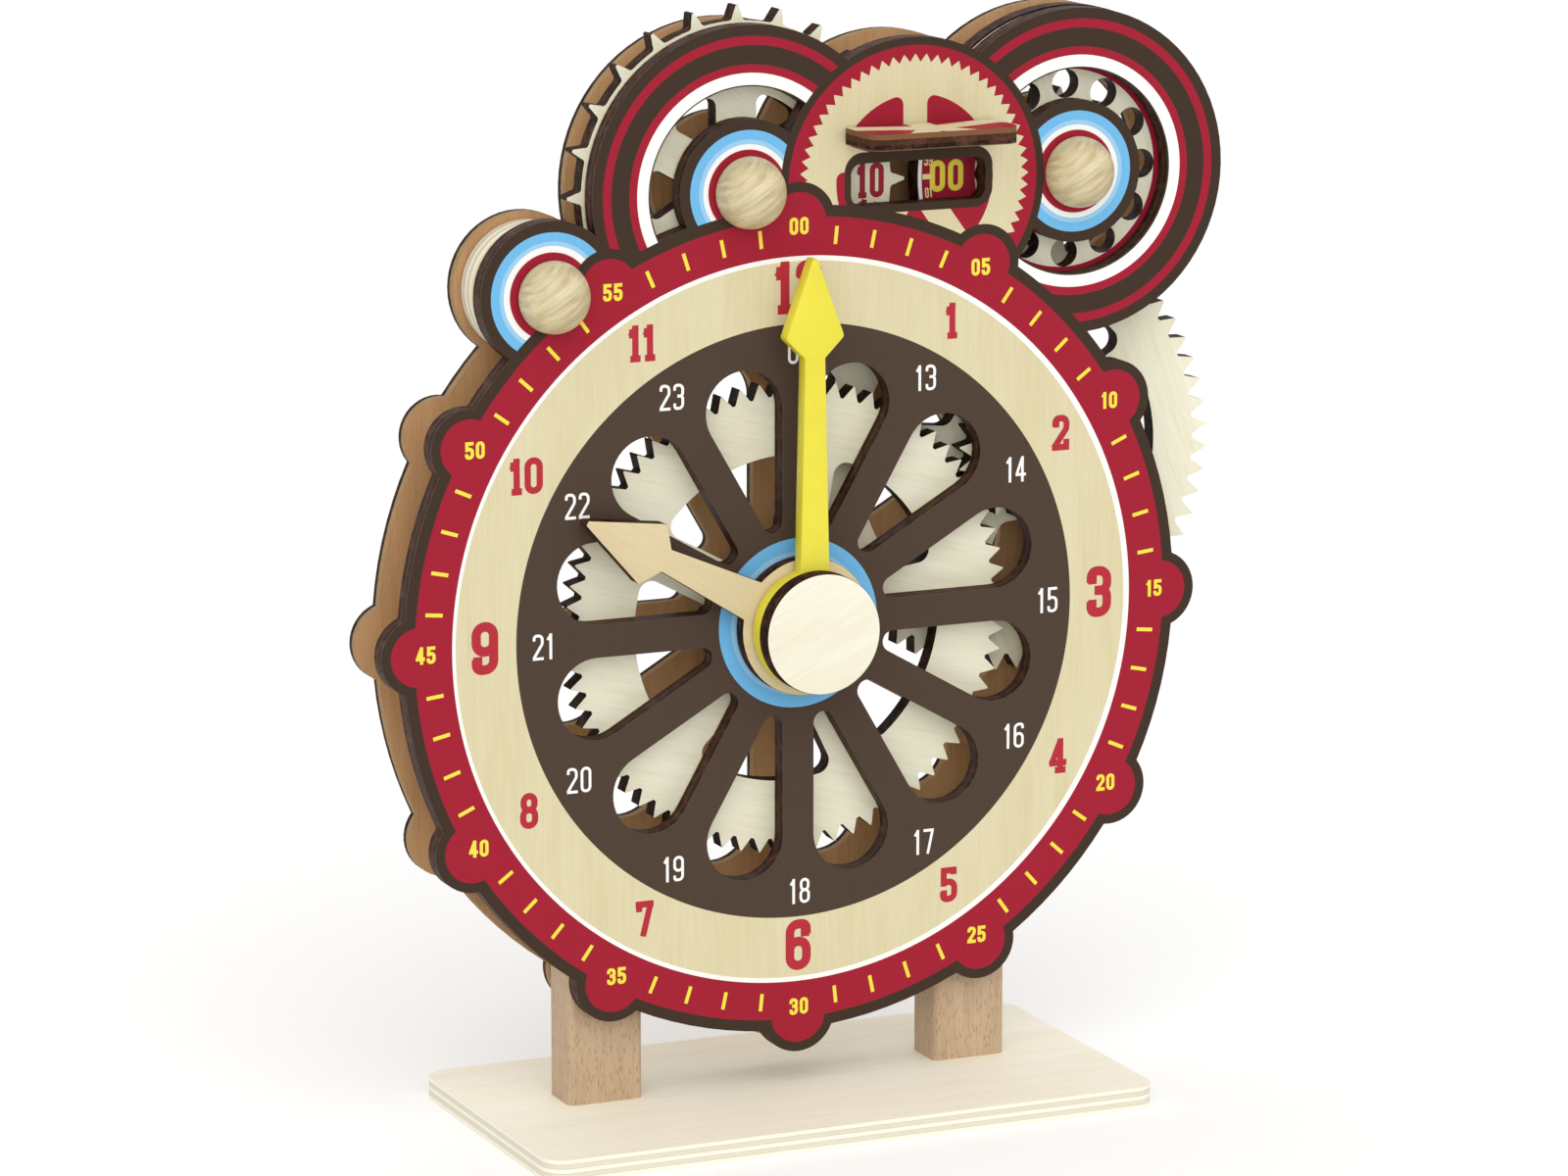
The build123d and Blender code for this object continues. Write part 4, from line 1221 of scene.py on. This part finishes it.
class CLOCK_OT_wheels(bpy.types.Operator):
    """Finish the laser-cut wheels and pinions, each with its grain at another angle"""

    bl_idname = "clock.wheels"
    bl_label = "Wheels"

    def execute(self, context):
        woods = context.scene.clock_woods
        for node, angle in (
            ("hour_wheel", 75.0),
            ("intermediate_wheel", 20.0),
            ("hour_number_wheel", 50.0),
            ("minute_pinion", 0.0),
            ("intermediate_pinion", 30.0),
            ("number_pinion", 60.0),
        ):
            name = "laser_cut_birch_" + node
            dress([node], laser_cut_plywood(name, woods.pale, woods.pale_dark, node, angle))
        dress(["minute_number_wheel"], printed_number_wheel())
        return {"FINISHED"}


class CLOCK_OT_stand(bpy.types.Operator):
    """Finish the base board, the posts and the spacer pillars between the plates"""

    bl_idname = "clock.stand"
    bl_label = "Stand"

    def execute(self, context):
        woods = context.scene.clock_woods
        board = stacked_birch(
            "sanded_birch_board", woods.base, woods.base_dark, "base_board", "Z", BASE_PLIES, 90.0
        )
        dress(["base_board"], board)
        dress(["left_post", "right_post"], planed_beech())
        low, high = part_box("spacer_pillars")
        dress(["spacer_pillars"], turned_wood("turned_pillar_wood", (low + high) / 2, PILLAR_GRAIN))
        return {"FINISHED"}


class CLOCK_OT_hands(bpy.types.Operator):
    """Make the yellow minute hand, the bare hour hand and the centre knob"""

    bl_idname = "clock.hands"
    bl_label = "Hands"

    def execute(self, context):
        woods = context.scene.clock_woods
        sizes = context.scene.clock_sizes
        paint = sprayed_paint("sprayed_yellow_paint", context.scene.clock_inks.hand_yellow)
        minute = soften("minute_hand", sizes.minute_hand_edge)
        finish_piece(minute, "painted_minute_hand", "minute", paint, ["minute_hand"])

        wood = laser_cut_plywood("laser_cut_hand_wood", woods.hand, woods.hand_dark, "hour_hand", 60.0)
        hour = soften("hour_hand", sizes.hour_hand_edge)
        finish_piece(hour, "sanded_hour_hand", "hour", wood, ["hour_hand"])

        low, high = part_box("hub_knob")
        radius = (high.x - low.x) / 2 / MM
        profile = rounded_disc(radius, low.y / MM, high.y / MM, sizes.centre_knob_edge / MM)
        wood = laser_cut_plywood(
            "laser_cut_knob_birch", woods.knob, woods.knob_dark, "hub_knob", -65.0, strength=0.7
        )
        finish_piece(
            turn(profile, DIAL), "sanded_hub_knob", "minute", wood, ["hub_knob"]
        )
        return {"FINISHED"}


class CLOCK_OT_ball_knobs(bpy.types.Operator):
    """Turn the three knobs, each a little over half a ball with an eased back edge"""

    bl_idname = "clock.ball_knobs"
    bl_label = "Ball knobs"

    def execute(self, context):
        for node, body in (
            ("left_ball_knob", "hour_numbers"),
            ("right_ball_knob", "minute_numbers"),
            ("roller_ball_knob", "roller"),
        ):
            low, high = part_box(node)
            centre = (low + high) / 2
            radius = (high.x - low.x) / 2 / MM
            front = low.y / MM
            back = high.y / MM
            end = math.degrees(math.asin((back - BALL_END - front - radius) / radius))
            profile = arc_points((0.0, front + radius), radius, -90, end, BALL_STEPS)
            profile[0] = (0.0, front)
            rim = profile[-1][0]
            profile += [(rim - inside, back - before) for inside, before in BALL_BACK_EDGE]
            profile.append((0.0, back))
            wood = turned_wood("turned_" + node, centre)
            finish_piece(turn(profile, centre), "turned_" + node, body, wood, [node])
        return {"FINISHED"}


class CLOCK_OT_roller(bpy.types.Operator):
    """Finish the thumb roller, a thick disc of stacked plies with eased edges"""

    bl_idname = "clock.roller"
    bl_label = "Thumb roller"

    def execute(self, context):
        woods = context.scene.clock_woods
        wood = stacked_birch(
            "sanded_roller_birch", woods.roller, woods.birch_dark,
            "thumb_roller", "Y", ROLLER_PLIES, 0.0, glue=0.3,
        )
        disc = soften("thumb_roller", context.scene.clock_sizes.roller_edge)
        finish_piece(disc, "sanded_thumb_roller", "roller", wood, ["thumb_roller"])
        return {"FINISHED"}


class CLOCK_OT_axles(bpy.types.Operator):
    """Finish the dowels, the collars and the washers"""

    bl_idname = "clock.axles"
    bl_label = "Axles"

    def execute(self, context):
        woods = context.scene.clock_woods
        dowels = ["minute_arbor", "intermediate_axle", "number_axle", "hour_number_axle", "roller_axle"]
        collars = ["hour_sleeve", "number_collar", "hour_number_collar"]
        washers = ["hub_washers", "number_washers", "train_washers"]
        dress(dowels + collars, turned_wood("dowel_birch", DIAL))
        dress(washers, moulded_nylon(woods.nylon, woods.nylon_dark))
        return {"FINISHED"}


class CLOCK_OT_hardware(bpy.types.Operator):
    """Finish the brass hinge and the steel screws"""

    bl_idname = "clock.hardware"
    bl_label = "Hardware"

    def execute(self, context):
        woods = context.scene.clock_woods
        leaves = ["hinge_plate_leaf", "hinge_flap_leaf", "hinge_pin"]
        screws = ["hinge_plate_screws", "hinge_flap_screws"]
        dress(leaves + screws, worked_metal("rolled_brass", woods.brass, 0.32))
        dress(["back_screws", "base_screws"], worked_metal("zinc_plated_steel", woods.steel, 0.35))
        return {"FINISHED"}


class CLOCK_OT_dial_numbers(bpy.types.Operator):
    """Print the minute numbers and ticks, the hour numbers and the 24 hour numbers of the dial"""

    bl_idname = "clock.dial_numbers"
    bl_label = "Dial numbers"

    def execute(self, context):
        inks = context.scene.clock_inks
        sizes = context.scene.clock_sizes
        minutes = []
        for minute in range(MINUTES):
            bearing = math.pi / 2 - math.tau * minute / MINUTES
            if minute % MINUTES_BETWEEN_NUMBERS:
                minutes.append(tick_stroke(Vector((0.0, 0.0)), TICK, bearing))
            else:
                place = polar(MINUTE_NUMBER_RADIUS, bearing) + Vector(MINUTE_NUMBER_SHIFT)
                minutes += label_strokes(
                    f"{minute:02d}", place, sizes.minute_numbers / MM, MINUTE_LETTERING
                )
        hours = []
        day_hours = []
        for hour in range(1, HOURS + 1):
            bearing = math.pi / 2 - math.tau * hour / HOURS
            height = sizes.other_hours if hour % HOURS_BETWEEN_QUARTERS else sizes.quarter_hours
            place = polar(HOUR_NUMBER_RADIUS, bearing) + Vector(HOUR_NUMBER_SHIFT)
            hours += label_strokes(str(hour), place, height / MM, HOUR_LETTERING, slabs=True)
            place = polar(DAY_NUMBER_RADIUS, bearing) + Vector(DAY_NUMBER_SHIFT)
            text = "00" if hour == HOURS else str(hour + HOURS)
            day_hours += label_strokes(text, place, sizes.day_numbers / MM, DAY_LETTERING)
        for name, strokes, ink in (
            ("minute_numbers_print", minutes, screen_ink("yellow_ink", inks.yellow)),
            ("hour_numbers_print", hours, screen_ink("red_ink", inks.number_red)),
            ("day_numbers_print", day_hours, screen_ink("white_ink", inks.white)),
        ):
            ink_strokes(name, strokes, FACE, "stand", ink)
        return {"FINISHED"}


class CLOCK_OT_wheel_numbers(bpy.types.Operator):
    """Print the numbers of the two wheels that show through the window"""

    bl_idname = "clock.wheel_numbers"
    bl_label = "Wheel numbers"

    def execute(self, context):
        inks = context.scene.clock_inks
        sizes = context.scene.clock_sizes
        right = on_print(RIGHT_RING).xz
        left = on_print(LEFT_RING).xz
        large = []
        small = []
        for minute in range(MINUTES):
            turned = math.tau * minute / MINUTES
            bearing = math.pi + turned
            text = f"{minute:02d}"
            if minute % MINUTES_BETWEEN_NUMBERS:
                place = right + polar(WHEEL_SMALL_MINUTE_RADIUS, bearing)
                height = sizes.wheel_small_minutes / MM
                small += label_strokes(text, place, height, WHEEL_SMALL_MINUTE_LETTERING, turned)
            else:
                place = right + polar(WHEEL_MINUTE_RADIUS, bearing)
                height = sizes.wheel_minutes / MM
                large += label_strokes(text, place, height, WHEEL_MINUTE_LETTERING, turned)
                small.append(tick_stroke(right, WHEEL_TICK, bearing))
        hours = []
        for hour in range(DAY_HOURS):
            turned = -math.tau * (hour - HOUR_AT_WINDOW) / DAY_HOURS
            place = left + polar(WHEEL_HOUR_RADIUS, turned)
            height = sizes.wheel_hours / MM
            hours += label_strokes(str(hour), place, height, WHEEL_HOUR_LETTERING, turned, slabs=True)

        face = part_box("minute_number_wheel")[0].y
        # The dial's yellow ink prints the wheel as well
        yellow = bpy.data.materials["yellow_ink"]
        cream = screen_ink("cream_ink", inks.cream)
        ink_strokes("wheel_minutes_print", large, face, "minute_numbers", yellow)
        ink_strokes("wheel_small_minutes_print", small, face, "minute_numbers", cream)
        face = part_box("hour_number_wheel")[0].y
        red = screen_ink("dark_red_ink", inks.red)
        ink_strokes("wheel_hours_print", hours, face, "hour_numbers", red)
        return {"FINISHED"}


class CLOCK_OT_stage(bpy.types.Operator):
    """Set the floor, the light and the camera"""

    bl_idname = "clock.stage"
    bl_label = "Stage"

    def execute(self, context):
        context.scene.view_settings.view_transform = "Standard"
        add_floor(context.scene)
        add_light(context.scene)
        add_camera(context.scene)
        return {"FINISHED"}


OPERATORS = (
    CLOCK_OT_plates,
    CLOCK_OT_wheels,
    CLOCK_OT_stand,
    CLOCK_OT_hands,
    CLOCK_OT_ball_knobs,
    CLOCK_OT_roller,
    CLOCK_OT_axles,
    CLOCK_OT_hardware,
    CLOCK_OT_dial_numbers,
    CLOCK_OT_wheel_numbers,
    CLOCK_OT_stage,
)
GROUPS = {
    "clock_inks": ClockInks,
    "clock_woods": ClockWoods,
    "clock_sizes": ClockSizes,
    "clock_stage": ClockStage,
}


class CLOCK_PT_looks(bpy.types.Panel):
    """Panel that lists the colours, sizes and pieces of the clock"""

    bl_idname = "CLOCK_PT_looks"
    bl_label = "Teaching clock"
    bl_space_type = "VIEW_3D"
    bl_region_type = "UI"
    bl_category = "Clock"

    def draw(self, context):
        for group_name, group in GROUPS.items():
            for name in group.__annotations__:
                self.layout.prop(getattr(context.scene, group_name), name)
        for operator in OPERATORS:
            self.layout.operator(operator.bl_idname)


CLASSES = (*GROUPS.values(), *OPERATORS, CLOCK_PT_looks)


def register():
    """Registers the classes and hangs the groups of settings on the scene."""
    for member in CLASSES:
        bpy.utils.register_class(member)
    for name, group in GROUPS.items():
        setattr(bpy.types.Scene, name, PointerProperty(type=group))


def unregister():
    """Undoes what register does, in the other order."""
    for name in GROUPS:
        delattr(bpy.types.Scene, name)
    for member in reversed(CLASSES):
        bpy.utils.unregister_class(member)


def main():
    """Makes every piece, running one operator after another."""
    register()
    for operator in OPERATORS:
        family, step = operator.bl_idname.split(".")
        getattr(getattr(bpy.ops, family), step)()


if __name__ == "__main__":
    main()
